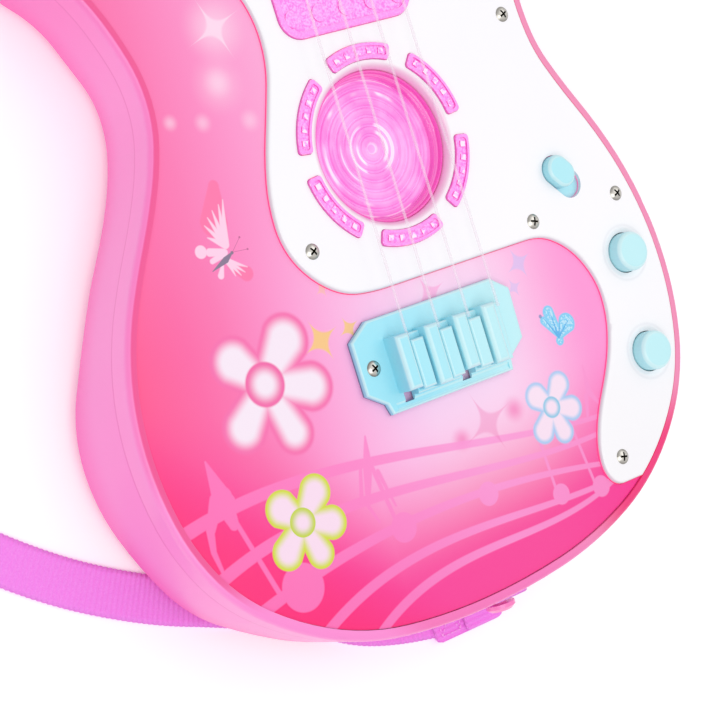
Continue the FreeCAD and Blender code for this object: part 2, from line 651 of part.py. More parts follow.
def build_controls():
    """Two push buttons, the slide knob, and the switches that they work on the main board."""
    stem_low = size("board_top") + size("dome_height") + size("button_travel") + 0.3
    for label, (x, y) in zip(("button_upper", "button_lower"), BUTTONS):
        top = size("guard_top") + size("button_height")
        cap = cylinder(label + "_cap", "Size.button_radius", 28.0, f"{top - 28.0}", x, y)
        soft = rounded(label + "_soft", cap, 1.6, at_height(top))
        flange = cylinder(label + "_flange", 8.2, 27.4, 1.3, x, y)
        stem = cylinder(label + "_stem", 3.0, stem_low, 27.8 - stem_low, x, y)
        sub_part(fuse(label, soft, flange, stem), label)
    domes = [cylinder(f"dome_{n}", 3.2, "Size.board_top", "Size.dome_height", x, y)
             for n, (x, y) in enumerate(BUTTONS, start=1)]
    sub_part(group("button_domes", *domes), "button_domes")
    shift = heading_vector(SWITCH_TURN) * (-size("knob_travel") / 2)
    centre = (SWITCH[0] + shift.x, SWITCH[1] + shift.y)
    top = size("guard_top") + size("knob_height")
    handle = slab("knob_handle", [oblong(centre, size("knob_length"), size("knob_width"),
                                         SWITCH_TURN)], 29.8, top)
    soft = rounded("knob_soft", handle, 1.4, at_height(top))
    half = size("skirt_half")
    skirt = box("knob_skirt", (centre[0] - half, centre[0] + half),
                (centre[1] - 5.0, centre[1] + 5.0), (29.1, 30.2), SWITCH_TURN)
    peg = cylinder("knob_peg", "Size.knob_peg", 24.4, 5.0, *centre)
    sub_part(fuse("slide_knob", soft, skirt, peg), "slide_knob")
    housing = box("switch_housing", (SWITCH[0] - 7, SWITCH[0] + 7),
                  (SWITCH[1] - 3.2, SWITCH[1] + 3.2), ("Size.board_top", 24.0), SWITCH_TURN)
    sub_part(housing, "slide_switch")
    board = slab("main_board", [Outline.polygon([
        (46, -94), (66, -96), (84, -80), (86, -50), (66, -8), (48, -8)])],
        "Size.board_under", "Size.board_top")
    sub_part(board, "main_board")


def build_lights():
    """Small boards and lamps under the clear windows."""
    low, top = 20.0, 21.2
    ring = slab("ring_light_board", [], low, top, [(0, 0, 33.0), (0, 0, 26.0)])
    sub_part(ring, "ring_light_board")
    lamps = []
    for number in range(6):
        spot = heading_vector(30 + 60 * number) * 28.2
        lamp = cylinder(f"ring_lamp_{number}", 1.5, top, 3.6, spot.x, spot.y)
        lamps.append(rounded(f"ring_lamp_soft_{number}", lamp, 1.2, at_height(top + 3.6)))
    sub_part(group("ring_leds", *lamps), "ring_leds")
    strip = box("pickup_light_board", (-18, 20), (41, 55), (low, top))
    sub_part(strip, "pickup_light_board")
    lamps = []
    for number in range(3):
        lamp = cylinder(f"pickup_lamp_{number}", 1.5, top, 3.6, -12 + 13 * number, 48)
        lamps.append(rounded(f"pickup_lamp_soft_{number}", lamp, 1.2, at_height(top + 3.6)))
    sub_part(group("pickup_leds", *lamps), "pickup_leds")


# ---- strings and their contacts ----------------------------------------------------------------

def string_x(number, line):
    """Where string 0 to 3 crosses a line across the guitar."""
    share = (line - size("bridge_line")) / (size("nut_line") - size("bridge_line"))
    spacing = size("bridge_spacing") + share * (size("nut_spacing") - size("bridge_spacing"))
    return size("string_centre") + (number - 1.5) * spacing


def rod_path(points, radius):
    """A round rod along straight runs, with a slightly larger ball at each turn."""
    solid, ball_radius = None, radius * 1.18
    for start, end in zip(points, points[1:]):
        run = Part.makeCylinder(radius, (end - start).Length, start, end - start)
        solid = run if solid is None else solid.fuse(run)
    for corner in points[1:-1]:
        solid = solid.fuse(Part.makeSphere(ball_radius, corner))
    return solid


def post_spot(number):
    """The string post that string 0 to 3 is tied to."""
    side = -1 if number < 2 else 1
    return (size("string_centre") + side * 14.0, KEY_LINES[0 if number in (0, 3) else 1])


def build_strings():
    """Four strings from the bridge's valleys, over the nut, to their posts."""
    radius, height = size("string_radius"), size("string_height")
    for number in range(4):
        x, y = post_spot(number)
        inward = 1 if number < 2 else -1
        points = [Vector(string_x(number, -54.9), -54.9, height),
                  Vector(string_x(number, size("nut_line") + 2), size("nut_line") + 2, height),
                  Vector(x + inward * (3.0 + radius), y, 35.6)]
        item = doc.addObject("Part::Feature", f"string_{number + 1}")
        item.Shape = rod_path(points, radius).fuse(Part.makeSphere(0.6, points[0]))
        sub_part(item, f"string_{number + 1}")
    levers = []
    for number in range(4):
        x = string_x(number, -60.0)
        foot = box(f"contact_foot_{number}", (x - 1.4, x + 1.4), (-69.5, -57.5), (23.0, 23.5))
        blade = box(f"contact_blade_{number}", (x - 1.0, x + 1.0), (-60.5, -60.0), (23.2, 30.0))
        levers.append(fuse(f"contact_{number}", foot, blade))
    sub_part(group("string_contacts", *levers), "string_contacts")


# ---- battery case ------------------------------------------------------------------------------

def build_battery_case():
    """Tray, three cells, their contacts, and the door with its captive screw."""
    x0, x1 = DOOR_X
    y0, y1 = DOOR_Y
    outer = box("tray_outer", (x0 - 1.8, x1 + 1.8), (y0 - 1.8, y1 + 1.8),
                ("Size.floor + 0.05", "Size.tray_top"))
    boss = cylinder("tray_boss", 3.4, "Size.floor + 0.6", 8.0, *DOOR_EAR)
    inner = box("tray_inner", (x0, x1), (y0, y1), (-1, "Size.tray_top - 1.6"))
    tools = [inner, cylinder("tray_screw_hole", 2.0, 0, 9.0, *DOOR_EAR)]
    tools += [box(f"tray_tab_slot_{n}", (x - 4.4, x + 4.4), (y1 - 1, y1 + 3), (0, 5.2))
              for n, x in enumerate((-16, 16))]
    sub_part(cut("battery_tray", fuse("tray_body", outer, boss), *tools), "battery_tray")
    middle = (y0 + y1) / 2
    cells, contacts = [], []
    for number in range(3):
        y = middle + (number - 1) * size("cell_pitch")
        flip = 1 if number % 2 else -1
        can = cylinder(f"cell_can_{number}", "Size.cell_radius", 10.3, "Size.cell_length",
                       "-Size.cell_length / 2", y, (1, 0, 0))
        tip = cylinder(f"cell_tip_{number}", 2.6, 10.3, 1.4,
                       size("cell_length") / 2 * flip, y, (flip, 0, 0))
        cells.append(fuse(f"cell_{number}", can, tip))
        for side in (-1, 1):
            x = side * (x1 - 0.25)
            plate = box(f"contact_plate_{number}_{side}", (x - 0.25, x + 0.25), (y - 5, y + 5),
                        (4.5, 16.0))
            if side == flip:
                pin = cylinder(f"contact_stud_{number}", 2.0, 10.3, 2.2, x, y, (-side, 0, 0))
            else:
                pin = doc.addObject("Part::Cone", f"contact_spring_{number}")
                pin.Radius1, pin.Radius2, pin.Height = 4.2, 2.4, 3.6
                pin.Placement = Placement(Vector(x, y, 10.3),
                                          Rotation(Vector(0, 0, 1), Vector(-side, 0, 0)))
            contacts.append(fuse(f"contact_set_{number}_{side}", plate, pin))
    sub_part(group("battery_cells", *cells), "battery_cells")
    sub_part(group("battery_contacts", *contacts), "battery_contacts")
    gap = size("door_gap")
    lid = box("door_lid", (x0 + gap, x1 - gap), (y0 + gap, y1 - gap),
              ("Size.door_outer", "Size.floor"))
    ear = cylinder("door_ear", 3.8, "Size.door_outer", "Size.floor - Size.door_outer", *DOOR_EAR)
    tabs = [box(f"door_tab_{n}_{part}", (x - 3.6, x + 3.6), along, up)
            for n, x in enumerate((-16, 16))
            for part, along, up in (("stem", (y1 - 3, y1 - gap), (1.5, 3.2)),
                                    ("tongue", (y1 - 2, y1 + 1.6), (2.3, 3.2)))]
    door_body = fuse("door_body", lid, ear, *tabs)
    ribs = [box(f"door_rib_{n}", (-12, 12), (y0 + 8 + 3 * n, y0 + 9.2 + 3 * n), (0, 0.8))
            for n in range(4)]
    screw_hole = cylinder("door_screw_hole", 1.4, -1, 5, *DOOR_EAR)
    sink = cylinder("door_sink", 2.5, -1, 2.3, *DOOR_EAR)
    sub_part(cut("battery_door", door_body, screw_hole, sink, *ribs), "battery_door")
    screw = turned("door_screw_body", [(0, 0.5), (2.2, 0.5), (2.2, 1.3), (1.2, 1.3), (1.2, 4.4),
                                       (0, 4.6)], (*DOOR_EAR, 0))
    slots = [box(f"door_screw_slot_{n}", (-x, x), (DOOR_EAR[1] - y, DOOR_EAR[1] + y), (0, 0.9))
             for n, (x, y) in enumerate(((1.5, 0.3), (0.3, 1.5)))]
    sub_part(cut("battery_door_screw", screw, *slots), "battery_door_screw")


# ---- neck and headstock ------------------------------------------------------------------------

def neck_section(name, half, deep, y, shrink=0.0):
    """The neck's D-shaped section, flat side up, standing across the guitar at y."""
    top = size("board_low")
    side, r = top - 5.0, half - shrink
    centre_x = size("string_centre")
    high = top + (1.0 if shrink else 0)
    corners = [Vector(centre_x - r, -high, 0), Vector(centre_x - r, -side, 0),
               Vector(centre_x + r, -side, 0), Vector(centre_x + r, -high, 0)]
    bottom = Vector(centre_x, -(deep + shrink), 0)
    drawn = doc.addObject("Sketcher::SketchObject", name)
    drawn.addGeometry([Part.LineSegment(corners[0], corners[1]),
                       Part.Arc(corners[1], bottom, corners[2]),
                       Part.LineSegment(corners[2], corners[3]),
                       Part.LineSegment(corners[3], corners[0])], False)
    drawn.Placement = Placement(Vector(0, y, 0), Rotation(Vector(1, 0, 0), -90))
    return drawn


def build_neck():
    """Hollow neck with its tongue, fretboard, frets, dots and nut."""
    start, nut = size("neck_start"), size("nut_line")
    half_body, half_nut = size("neck_half_body"), size("neck_half_nut")
    outer = loft("neck_outer", [neck_section("neck_end", half_body, 12.5, start),
                                neck_section("neck_tip", half_nut, 15.5, nut - 2)])
    inner = loft("neck_inner", [neck_section("neck_in_end", half_body, 12.5, start + 3, 2.2),
                                neck_section("neck_in_tip", half_nut, 15.5, nut - 5, 2.2)])
    shell = cut("neck_shell", outer, inner)
    tongue = box("neck_tongue", TONGUE_X, (TONGUE_Y[0], start + 1.5), TONGUE_Z)
    body = fuse("neck_body", shell, tongue)
    holes = drilled("neck_pilot", NECK_SCREWS, 1.3, 5, 22)
    sub_part(cut("neck_back", body, *holes), "neck_back")
    screws("neck_screws", NECK_SCREWS, 6.0, 20.0, True)

    foot, centre = size("neck_foot"), size("string_centre")
    grow = (half_body - half_nut) / (nut - start)
    half_foot = half_body + grow * (start - foot)
    board = slab("fretboard_slab", [Outline.polygon([
        (centre - half_foot, foot), (centre + half_foot, foot), (centre + half_nut, nut),
        (centre - half_nut, nut)])], "Size.board_low", "Size.board_high")
    soft = rounded("fretboard_soft", board, 0.8, at_height(size("board_high")))
    x0, y0, x1, y1 = LENS_BOX
    rebate = box("fretboard_rebate", (x0 - 1, x1 + 1), (y0, y1 + 0.2), (30, "Size.window_top + 0.2"))
    sub_part(cut("fretboard", soft, rebate), "fretboard")
    scale = nut - size("bridge_line")
    bars, dots = [], []
    lines = [nut] + [size("bridge_line") + scale / 2 ** (fret / 12)
                     for fret in range(1, int(size("fret_count")) + 1)]
    for number, y in enumerate(lines[1:], start=1):
        half = half_nut + grow * (nut - y) - 0.9
        bar = cylinder(f"fret_{number}", size("fret_height"), size("board_high"), 2 * half,
                       centre - half, y, (1, 0, 0))
        keep = box(f"fret_keep_{number}", (centre - 30, centre + 30), (y - 2, y + 2),
                   (size("board_high"), 40))
        bars.append(common(f"fret_bar_{number}", bar, keep))
    sub_part(group("frets", *bars), "frets")
    for fret in (3, 5, 7, 9, 12, 12, 15):
        y = (lines[fret] + lines[fret - 1]) / 2
        shift = 0 if fret != 12 else (6 if len(dots) == 4 else -6)
        dots.append(cylinder(f"dot_{len(dots)}", 2.4, size("board_high"), 0.35,
                             centre + shift, y))
    sub_part(group("fret_dots", *dots), "fret_dots")
    bar = box("nut_bar", (centre - half_nut + 0.3, centre + half_nut - 0.3), (nut, nut + 4),
              ("Size.board_low", "Size.string_height + 0.6"))
    soft = rounded("nut_soft", bar, 1.0, at_height(size("string_height") + 0.6))
    slots = [box(f"nut_slot_{n}", (string_x(n, nut) - 0.6, string_x(n, nut) + 0.6),
                 (nut - 1, nut + 5), ("Size.string_height - Size.string_radius - 0.02", 45))
             for n in range(4)]
    sub_part(cut("nut", soft, *slots), "nut")


KEY_LINES = (334.0, 364.0)


def head_outline(shift=0.0):
    """The headstock's plan: a waisted foot, straight sides for the keys and a round end."""
    centre, half = size("string_centre"), size("head_half") + shift
    foot, start = size("neck_half_nut") + shift, size("nut_line") - 2 - shift
    right = [(foot, start, 0, 90), (half, 320, 90), (half, 374, 90)]
    left = [(-half, 374, 270), (-half, 320, 270), (-foot, start, 270, 0)]
    tip = [(0, 400 + shift, 180)]
    return Outline.through([(centre + node[0],) + node[1:] for node in right + tip + left])


def build_headstock():
    """Tray and cover, four posts for the strings, and four turning keys on the sides."""
    wall = size("wall")
    outer = slab("head_outer", [head_outline()], "Size.head_under", "Size.head_split")
    soft = rounded("head_soft", outer, 2.0, at_height(size("head_under")))
    inner = slab("head_inner", [head_outline(-wall)], "Size.head_under + 2", "Size.head_split + 1")
    half, centre = size("head_half"), size("string_centre")
    holes = [cylinder(f"key_hole_{n}", "Size.key_shaft + Size.key_fit", "Size.key_height", 5,
                      centre + side * (half + 1), line, (-side, 0, 0))
             for n, (line, side) in enumerate((l, s) for l in KEY_LINES for s in (-1, 1))]
    sub_part(cut("headstock_back", soft, inner, *holes), "headstock_back")
    cover = slab("head_cover", [head_outline()], "Size.head_split", "Size.head_face")
    sub_part(rounded("headstock_front", cover, 1.2, at_height(size("head_face"))),
             "headstock_front")
    posts = []
    for number in range(4):
        x, y = post_spot(number)
        shaft = cylinder(f"post_shaft_{number}", 3.0, "Size.head_face", 6.5, x, y)
        crown = cylinder(f"post_crown_{number}", 3.9, "Size.head_face + 6.4", 1.8, x, y)
        top = size("head_face") + 8.2
        posts.append(fuse(f"post_{number}", shaft,
                          rounded(f"post_soft_{number}", crown, 0.8, at_height(top))))
    sub_part(group("string_posts", *posts), "string_posts")
    number = 0
    for line in KEY_LINES:
        for side in (-1, 1):
            number += 1
            sub_part(tuning_key(f"tuning_key_{number}", line, side), f"tuning_key_{number}")


def tuning_key(label, line, side):
    """One key: snap head inside the wall, shaft, collar outside it and an oval paddle."""
    wall_out = size("head_half")
    profile = [(0, wall_out - 5.4), (3.6, wall_out - 5.4), (3.6, wall_out - 2.5),
               (2.5, wall_out - 2.5), (2.5, wall_out + 0.6), (4.2, wall_out + 0.6),
               (3.4, wall_out + 3.4), (2.6, wall_out + 5.5), (0, wall_out + 5.5)]
    place = (size("string_centre"), line, size("key_height"))
    shaft = turned(label + "_shaft", profile, place, (side, 0, 0))
    plate = doc.addObject("Part::Feature", label + "_paddle")
    oval = Part.Ellipse(Vector(0, 0, 0), 8.0, 6.6).toShape()
    solid = Part.Face(Part.Wire(oval)).extrude(Vector(0, 0, 4.4))
    solid = solid.makeFillet(1.5, solid.Edges)
    solid.translate(Vector(0, 0, -2.2))
    solid.rotate(Vector(0, 0, 0), Vector(0, 0, 1), 90)
    solid.translate(Vector(place[0] + side * (wall_out + 10.5), line, place[2]))
    plate.Shape = solid
    return fuse(label, shaft, plate)


# ---- strap -------------------------------------------------------------------------------------

# the strap's middle line, on the ground: from the tail, under the bevelled back edge, out to the
# left and round to the horn
STRAP_ROUTE = [
    (0, -142.2), (-29, -138.5), (-53, -124.5), (-77, -113), (-103, -103), (-133, -85),
    (-166, -55), (-192, -10), (-207, 44), (-210, 100), (-200, 154), (-170, 198), (-126, 221),
    (-86, 212), (-64, 182), (-60, 148),
]


def rounded_path(spots):
    """Straight runs joined by tangent arcs of 0.45 of the shorter run, and the arcs' radii."""
    edges, radii, here = [], [], spots[0]
    for before, corner, after in zip(spots, spots[1:], spots[2:]):
        reach = 0.45 * min((corner - before).Length, (after - corner).Length)
        enter = corner + (before - corner).normalize() * reach
        leave = corner + (after - corner).normalize() * reach
        turn = (corner - before).getAngle(after - corner)
        radius = reach / math.tan(turn / 2)
        bisector = ((before - corner).normalize() + (after - corner).normalize()).normalize()
        centre = corner + bisector * (radius / math.cos(turn / 2))
        middle = centre - bisector * radius
        edges += [Part.LineSegment(here, enter).toShape(), Part.Arc(enter, middle, leave).toShape()]
        radii.append(radius)
        here = leave
    edges.append(Part.LineSegment(here, spots[-1]).toShape())
    return Part.Wire(edges), radii


def wire_along(spots, radius):
    """A round wire swept along the rounded path through the spots."""
    path, _ = rounded_path(spots)
    ring = Part.Wire(Part.makeCircle(radius, spots[0], spots[1] - spots[0]))
    return path.makePipeShell([ring], True, False)


def build_strap():
    """Flat webbing on the ground, its two sewn ends on their lugs, and its adjuster."""
    width, thick, lift = size("strap_width"), size("strap_thick"), size("strap_lift")
    path, radii = rounded_path([Vector(x, y, lift + thick / 2) for x, y in STRAP_ROUTE])
    section = Part.Wire(Part.makePolygon([
        Vector(*STRAP_ROUTE[0], lift + level * thick) + Vector(0, side * width / 2, 0)
        for side, level in ((-1, 0), (1, 0), (1, 1), (-1, 1), (-1, 0))]))
    first = Vector(STRAP_ROUTE[1][0] - STRAP_ROUTE[0][0], STRAP_ROUTE[1][1] - STRAP_ROUTE[0][1], 0)
    section.rotate(Vector(*STRAP_ROUTE[0], 0), Vector(0, 0, 1),
                   math.degrees(math.atan2(first.y, first.x)) - 180)
    webbing = path.makePipeShell([section], True, False)
    strap = doc.addObject("Part::Feature", "strap")
    strap.Shape = webbing
    sub_part(strap, "strap")
    print("strap length", round(path.Length, 1), "volume share",
          round(webbing.Volume / (path.Length * width * thick), 3))
    print("strap radii", [round(radius) for radius in radii])

    lug = size("lug_height")
    for label, (x, y), way in (("tail", TAIL_LUG, -1), ("horn", HORN_LUG, 1)):
        profile = [(0, -6.0), (1.5, -6.0), (1.5, 0.1), (size("lug_neck"), 0.1),
                   (size("lug_neck"), 4.2), (size("lug_head"), 4.2), (size("lug_head"), 5.4),
                   (size("lug_head") - 1.2, 6.4), (0, 6.4)]
        sub_part(turned(f"strap_lug_{label}", profile, (x, y, lug), (0, way, 0)),
                 f"strap_lug_{label}")
    half, foot_low = width / 2, lift + thick
    ends = (("tail", TAIL_LUG, -1, (TAIL_LUG[0] - half - 11, TAIL_LUG[0] + 1.0),
             (-142.2 - half, -142.2 + half)),
            ("horn", HORN_LUG, 1, (HORN_LUG[0] - half, HORN_LUG[0] + half), (138.6, 160.0)))
    for label, (x, y), way, foot_x, foot_y in ends:
        near, far = sorted((y + way * 1.2, y + way * 2.8))
        upright = box(f"tab_{label}_upright", (x - half, x + half), (near, far),
                      (foot_low, lug + half))
        foot = box(f"tab_{label}_foot", foot_x, foot_y, (foot_low, foot_low + 1.6))
        eye = cylinder(f"tab_{label}_eye", size("lug_neck") + 0.25, lug, 10, x, y - 5 if way > 0
                       else y + 5, (0, way, 0))
        sub_part(cut(f"strap_tab_{label}", fuse(f"tab_{label}_body", upright, foot), eye),
                 f"strap_tab_{label}")
    middle = Vector(-208.5, 72, 0)
    bar = box("slider_bar", (middle.x - 10, middle.x + 10), (middle.y - 6, middle.y + 6),
              (lift + thick + 0.1, 3.4))
    posts = [box(f"slider_post_{n}", (middle.x + low, middle.x + low + 2), (middle.y - 6,
             middle.y + 6), (0.0, 3.4)) for n, low in enumerate((-10, 8))]
    window = box("slider_window", (middle.x - 6.5, middle.x + 6.5),
                 (middle.y + 1.2, middle.y + 4.2), (0, 5))
    sub_part(cut("strap_slider", fuse("slider_body", bar, *posts), window), "strap_slider")


def build_screws_and_wires():
    """The casing's screws from the back, the front's screws, and the leads inside."""
    screws("casing_screws", CASE_SCREWS, 8.0, 28.0, True)
    screws("pickguard_screws", GUARD_SCREWS, size("guard_top"), 24.0, False)
    screws("bridge_screw", BRIDGE_SCREWS, 32.8, 24.0, False)
    speaker = [(14, -6, 13.0), (22, -18, 11.0), (40, -34, 11.0), (52, -40, 16.0)]
    battery = [(31.6, -64, 12.0), (38, -60, 10.0), (48, -56, 10.0), (58, -62, 16.0)]
    lead_radius, lead_pitch = 0.6, 2.0
    for label, route in (("speaker_leads", speaker), ("battery_leads", battery)):
        leads = []
        for shift in (0, lead_pitch):
            spots = [Vector(x + shift, y - shift, z) for x, y, z in route]
            leads.append(wire_along(spots, lead_radius))
        item = doc.addObject("Part::Feature", label)
        item.Shape = Part.makeCompound(leads)
        sub_part(item, label)


def check_and_write():
    """Stop on any failed object or bad shape, then write one file for each sub-part."""
    doc.recompute()
    for item in doc.Objects:
        if "Invalid" in item.State or "Error" in item.State:
            raise ValueError(f"{item.Label} failed: {item.State}")
    os.makedirs("parts", exist_ok=True)
    names = [item.Label for item in parts]
    if len(set(names)) != len(names):
        raise ValueError("two sub-parts share a name")
    for item in parts:
        if item.Shape.isNull() or not item.Shape.isValid() or item.Shape.Volume <= 0:
            raise ValueError(item.Label + " has no valid shape")
        item.Shape.exportStep(f"parts/{item.Label}.step")
    print(len(parts), "sub-parts written")


for build in (build_back_shell, build_front_shell, build_front_panel, build_pickguard,
              build_windows, build_speaker, build_bridge, build_controls, build_lights,
              build_strings, build_battery_case, build_neck, build_headstock, build_strap,
              build_screws_and_wires):
    build()
check_and_write()
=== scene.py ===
import json
import math

import bmesh
import bpy
from mathutils import Matrix, Vector


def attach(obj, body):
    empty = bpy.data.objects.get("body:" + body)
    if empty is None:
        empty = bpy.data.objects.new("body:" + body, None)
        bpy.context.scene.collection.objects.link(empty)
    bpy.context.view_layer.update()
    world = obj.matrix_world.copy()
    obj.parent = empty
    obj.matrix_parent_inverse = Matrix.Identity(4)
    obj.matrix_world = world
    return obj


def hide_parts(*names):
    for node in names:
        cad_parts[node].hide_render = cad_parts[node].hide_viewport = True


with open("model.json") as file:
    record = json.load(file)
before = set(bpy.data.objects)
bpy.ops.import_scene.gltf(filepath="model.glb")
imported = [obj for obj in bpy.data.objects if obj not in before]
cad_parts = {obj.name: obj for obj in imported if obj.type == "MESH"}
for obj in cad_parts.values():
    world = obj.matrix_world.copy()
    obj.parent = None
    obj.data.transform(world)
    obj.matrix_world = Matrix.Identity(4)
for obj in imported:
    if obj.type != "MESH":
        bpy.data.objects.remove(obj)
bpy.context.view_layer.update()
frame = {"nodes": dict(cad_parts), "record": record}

MM = 0.001

# measures of the parts, in millimetres: first heights, then places and radii on the front
PARTING, PANEL_TOP, RIM_TOP, WINDOW_TOP = 22.5, 30.4, 31.2, 32.9
BUTTONS = [(76.3, -53.3), (74.1, -84.9)]
BUTTON_RING = 8.6       # radius of a faint ring of painted shade just outside each button's dish
FUNNEL_RADIUS = 24.9    # where the speaker hole's rounded edge meets the guard's face
DISH_WALL = 21.0        # where the dish's floor gives way to its stepped wall
SPARKLE_TURN = 0.35     # in radians

nodes = {name: bpy.data.objects[name] for name in frame["nodes"]}


# ---- colours and node expressions ---------------------------------------------------------------

def colour(code):
    """A linear colour from the usual six hexadecimal digits."""
    parts = [int(code[i:i + 2], 16) / 255 for i in (0, 2, 4)]
    return tuple(p / 12.92 if p < 0.04045 else ((p + 0.055) / 1.055) ** 2.4 for p in parts) + (1,)


class Field:
    """A number that varies over a surface, worked out by a material's nodes."""

    def __init__(self, look, socket):
        self.look, self.socket = look, socket

    def _op(self, operation, *values):
        return self.look.math(operation, self, *values)

    def __add__(self, other):
        return self._op("ADD", other)

    def __sub__(self, other):
        return self._op("SUBTRACT", other)

    def __rsub__(self, other):
        return self.look.math("SUBTRACT", other, self)

    def __mul__(self, other):
        return self._op("MULTIPLY", other)

    def __truediv__(self, other):
        return self._op("DIVIDE", other)

    def times_plus(self, factor, offset):
        return self._op("MULTIPLY_ADD", factor, offset)

    def least(self, other):
        return self._op("MINIMUM", other)

    def most(self, other):
        return self._op("MAXIMUM", other)

    def size(self):
        return self._op("ABSOLUTE")

    __radd__, __rmul__ = __add__, __mul__


class Look:
    """A material under construction, with its Principled shader."""

    def __init__(self, name, base="FFFFFF", **settings):
        self.material = bpy.data.materials.new(name)
        self.material.use_nodes = True
        self.tree = self.material.node_tree
        self.shader = self.tree.nodes["Principled BSDF"]
        self.shader.inputs["Base Color"].default_value = colour(base)
        for key, value in settings.items():
            self.shader.inputs[key.replace("_", " ")].default_value = value
        self.cache = {}

    def node(self, kind, inputs=(), **settings):
        made = self.tree.nodes.new("ShaderNode" + kind)
        for key, value in settings.items():
            setattr(made, key, value)
        for index, value in dict(inputs).items():
            if isinstance(value, Field):
                self.tree.links.new(value.socket, made.inputs[index])
            elif isinstance(value, bpy.types.NodeSocket):
                self.tree.links.new(value, made.inputs[index])
            else:
                made.inputs[index].default_value = value
        return made

    def math(self, operation, *values, clamp=False):
        made = self.node("Math", dict(enumerate(values)), operation=operation, use_clamp=clamp)
        return Field(self, made.outputs[0])

    def vector(self, operation, *values, out=0):
        made = self.node("VectorMath", dict(enumerate(values)), operation=operation)
        return made.outputs[out]

    def place(self):
        """Position on the part in millimetres, as a vector socket."""
        if "place" not in self.cache:
            where = self.node("TexCoord").outputs["Object"]
            self.cache["place"] = self.vector("MULTIPLY", where, (1000, 1000, 1000))
            split = self.node("SeparateXYZ", {0: self.cache["place"]})
            self.cache["xyz"] = [Field(self, socket) for socket in split.outputs]
            self.cache["flat"] = self.vector("MULTIPLY", self.cache["place"], (1, 1, 0))
        return self.cache["place"]

    def xyz(self):
        self.place()
        return self.cache["xyz"]

    def upward(self):
        """How far the surface faces up: 1 level, 0 upright, -1 facing down."""
        normal = self.node("NewGeometry").outputs["Normal"]
        return Field(self, self.node("SeparateXYZ", {0: normal}).outputs[2])

    def step(self, value, low, high):
        """0 below low and 1 above high, smoothly between; high may be the smaller."""
        made = self.node("MapRange", {"Value": value}, interpolation_type="SMOOTHSTEP")
        made.inputs["From Min"].default_value = min(low, high)
        made.inputs["From Max"].default_value = max(low, high)
        made.inputs["To Min"].default_value = 0 if low < high else 1
        made.inputs["To Max"].default_value = 1 if low < high else 0
        return Field(self, made.outputs[0])

    def blend(self, first, second, share):
        """The first colour at a share of 0, the second at 1."""
        made = self.node("Mix", data_type="RGBA")
        for index, value in ((0, share), (6, first), (7, second)):
            if isinstance(value, str):
                value = colour(value)
            if isinstance(value, Field):
                value = value.socket
            if isinstance(value, bpy.types.NodeSocket):
                self.tree.links.new(value, made.inputs[index])
            else:
                made.inputs[index].default_value = value
        return made.outputs[2]

    def noise(self, scale, detail=3.0, stretch=(1, 1, 1)):
        """Noise between 0 and 1; scale is in features for each millimetre."""
        where = self.vector("MULTIPLY", self.place(), stretch)
        made = self.node("TexNoise", {"Vector": where, "Scale": scale, "Detail": detail})
        return Field(self, made.outputs[0])

    def ramp(self, value, stops):
        """A colour that follows a value from 0 to 1 through (position, code) stops."""
        made = self.node("ValToRGB", {0: value})
        band = made.color_ramp
        while len(band.elements) < len(stops):
            band.elements.new(0.5)
        for element, (spot, code) in zip(band.elements, stops):
            element.position = spot
            element.color = colour(code)
        return made.outputs[0]

    def set(self, name, value):
        """Drive one of the shader's sockets."""
        if isinstance(value, Field):
            value = value.socket
        self.tree.links.new(value, self.shader.inputs[name])

    def bump(self, height, distance, strength=1.0):
        """Bump from a height field; distance is in millimetres."""
        made = self.node("Bump", {"Height": height, "Distance": distance * MM,
                                  "Strength": strength})
        self.tree.links.new(made.outputs[0], self.shader.inputs["Normal"])

    # shapes on the plane, as distances in millimetres that are negative inside

    def capsule(self, start, end, start_radius, end_radius):
        """A rounded wedge from one point to another."""
        self.place()
        along = (Vector(end) - Vector(start)).to_3d()
        offset = self.vector("SUBTRACT", self.cache["flat"], (*start, 0))
        dot = self.vector("DOT_PRODUCT", offset, tuple(along / along.length_squared), out=1)
        share = self.math("ADD", dot, 0.0, clamp=True)
        foot = self.node("VectorMath", {0: tuple(along)}, operation="SCALE")
        self.tree.links.new(share.socket, foot.inputs["Scale"])
        reach = self.vector("DISTANCE", offset, foot.outputs[0], out=1)
        radius = share.times_plus(end_radius - start_radius, start_radius)
        return Field(self, reach) - radius

    def disc(self, centre, radius):
        self.place()
        reach = self.vector("DISTANCE", self.cache["flat"], (*centre, 0), out=1)
        return Field(self, reach) - radius

    def union(self, shapes):
        total = shapes[0]
        for shape in shapes[1:]:
            total = total.least(shape)
        return total

    def glow(self, centre, radius):
        """A soft round spot, 1 at its middle."""
        return self.step(self.disc(centre, 0), radius, 0)

    def sparkle(self, centre, radius, power):
        """Four-pointed star: 1 inside, with soft edges; a lower power makes it thinner."""
        x, y, _ = self.xyz()
        c, s = math.cos(SPARKLE_TURN), math.sin(SPARKLE_TURN)
        across = (x * c + y * s - (centre[0] * c + centre[1] * s)).size()
        up = (y * c - x * s - (centre[1] * c - centre[0] * s)).size()
        total = self.math("POWER", across, power) + self.math("POWER", up, power)
        return self.step(total, radius ** power * 1.05, radius ** power * 0.88)


def plastic(name, base, roughness=0.28, coat=0.35, grain=0.02, tone=0.05, **settings):
    """Moulded gloss plastic: faint drift in tone and sheen, and a very fine skin."""
    look = Look(name, base, Roughness=roughness, Coat_Weight=coat, Coat_Roughness=0.08, **settings)
    drift = look.noise(0.03, 2.0)
    look.set("Base Color", look.blend(base, "FFFFFF", drift * tone))
    look.set("Roughness", look.noise(0.4, 3.0).times_plus(0.12, roughness - 0.06))
    look.bump(look.noise(1.4, 2.0), grain)
    return look


# ---- the printed front panel -------------------------------------------------------------------

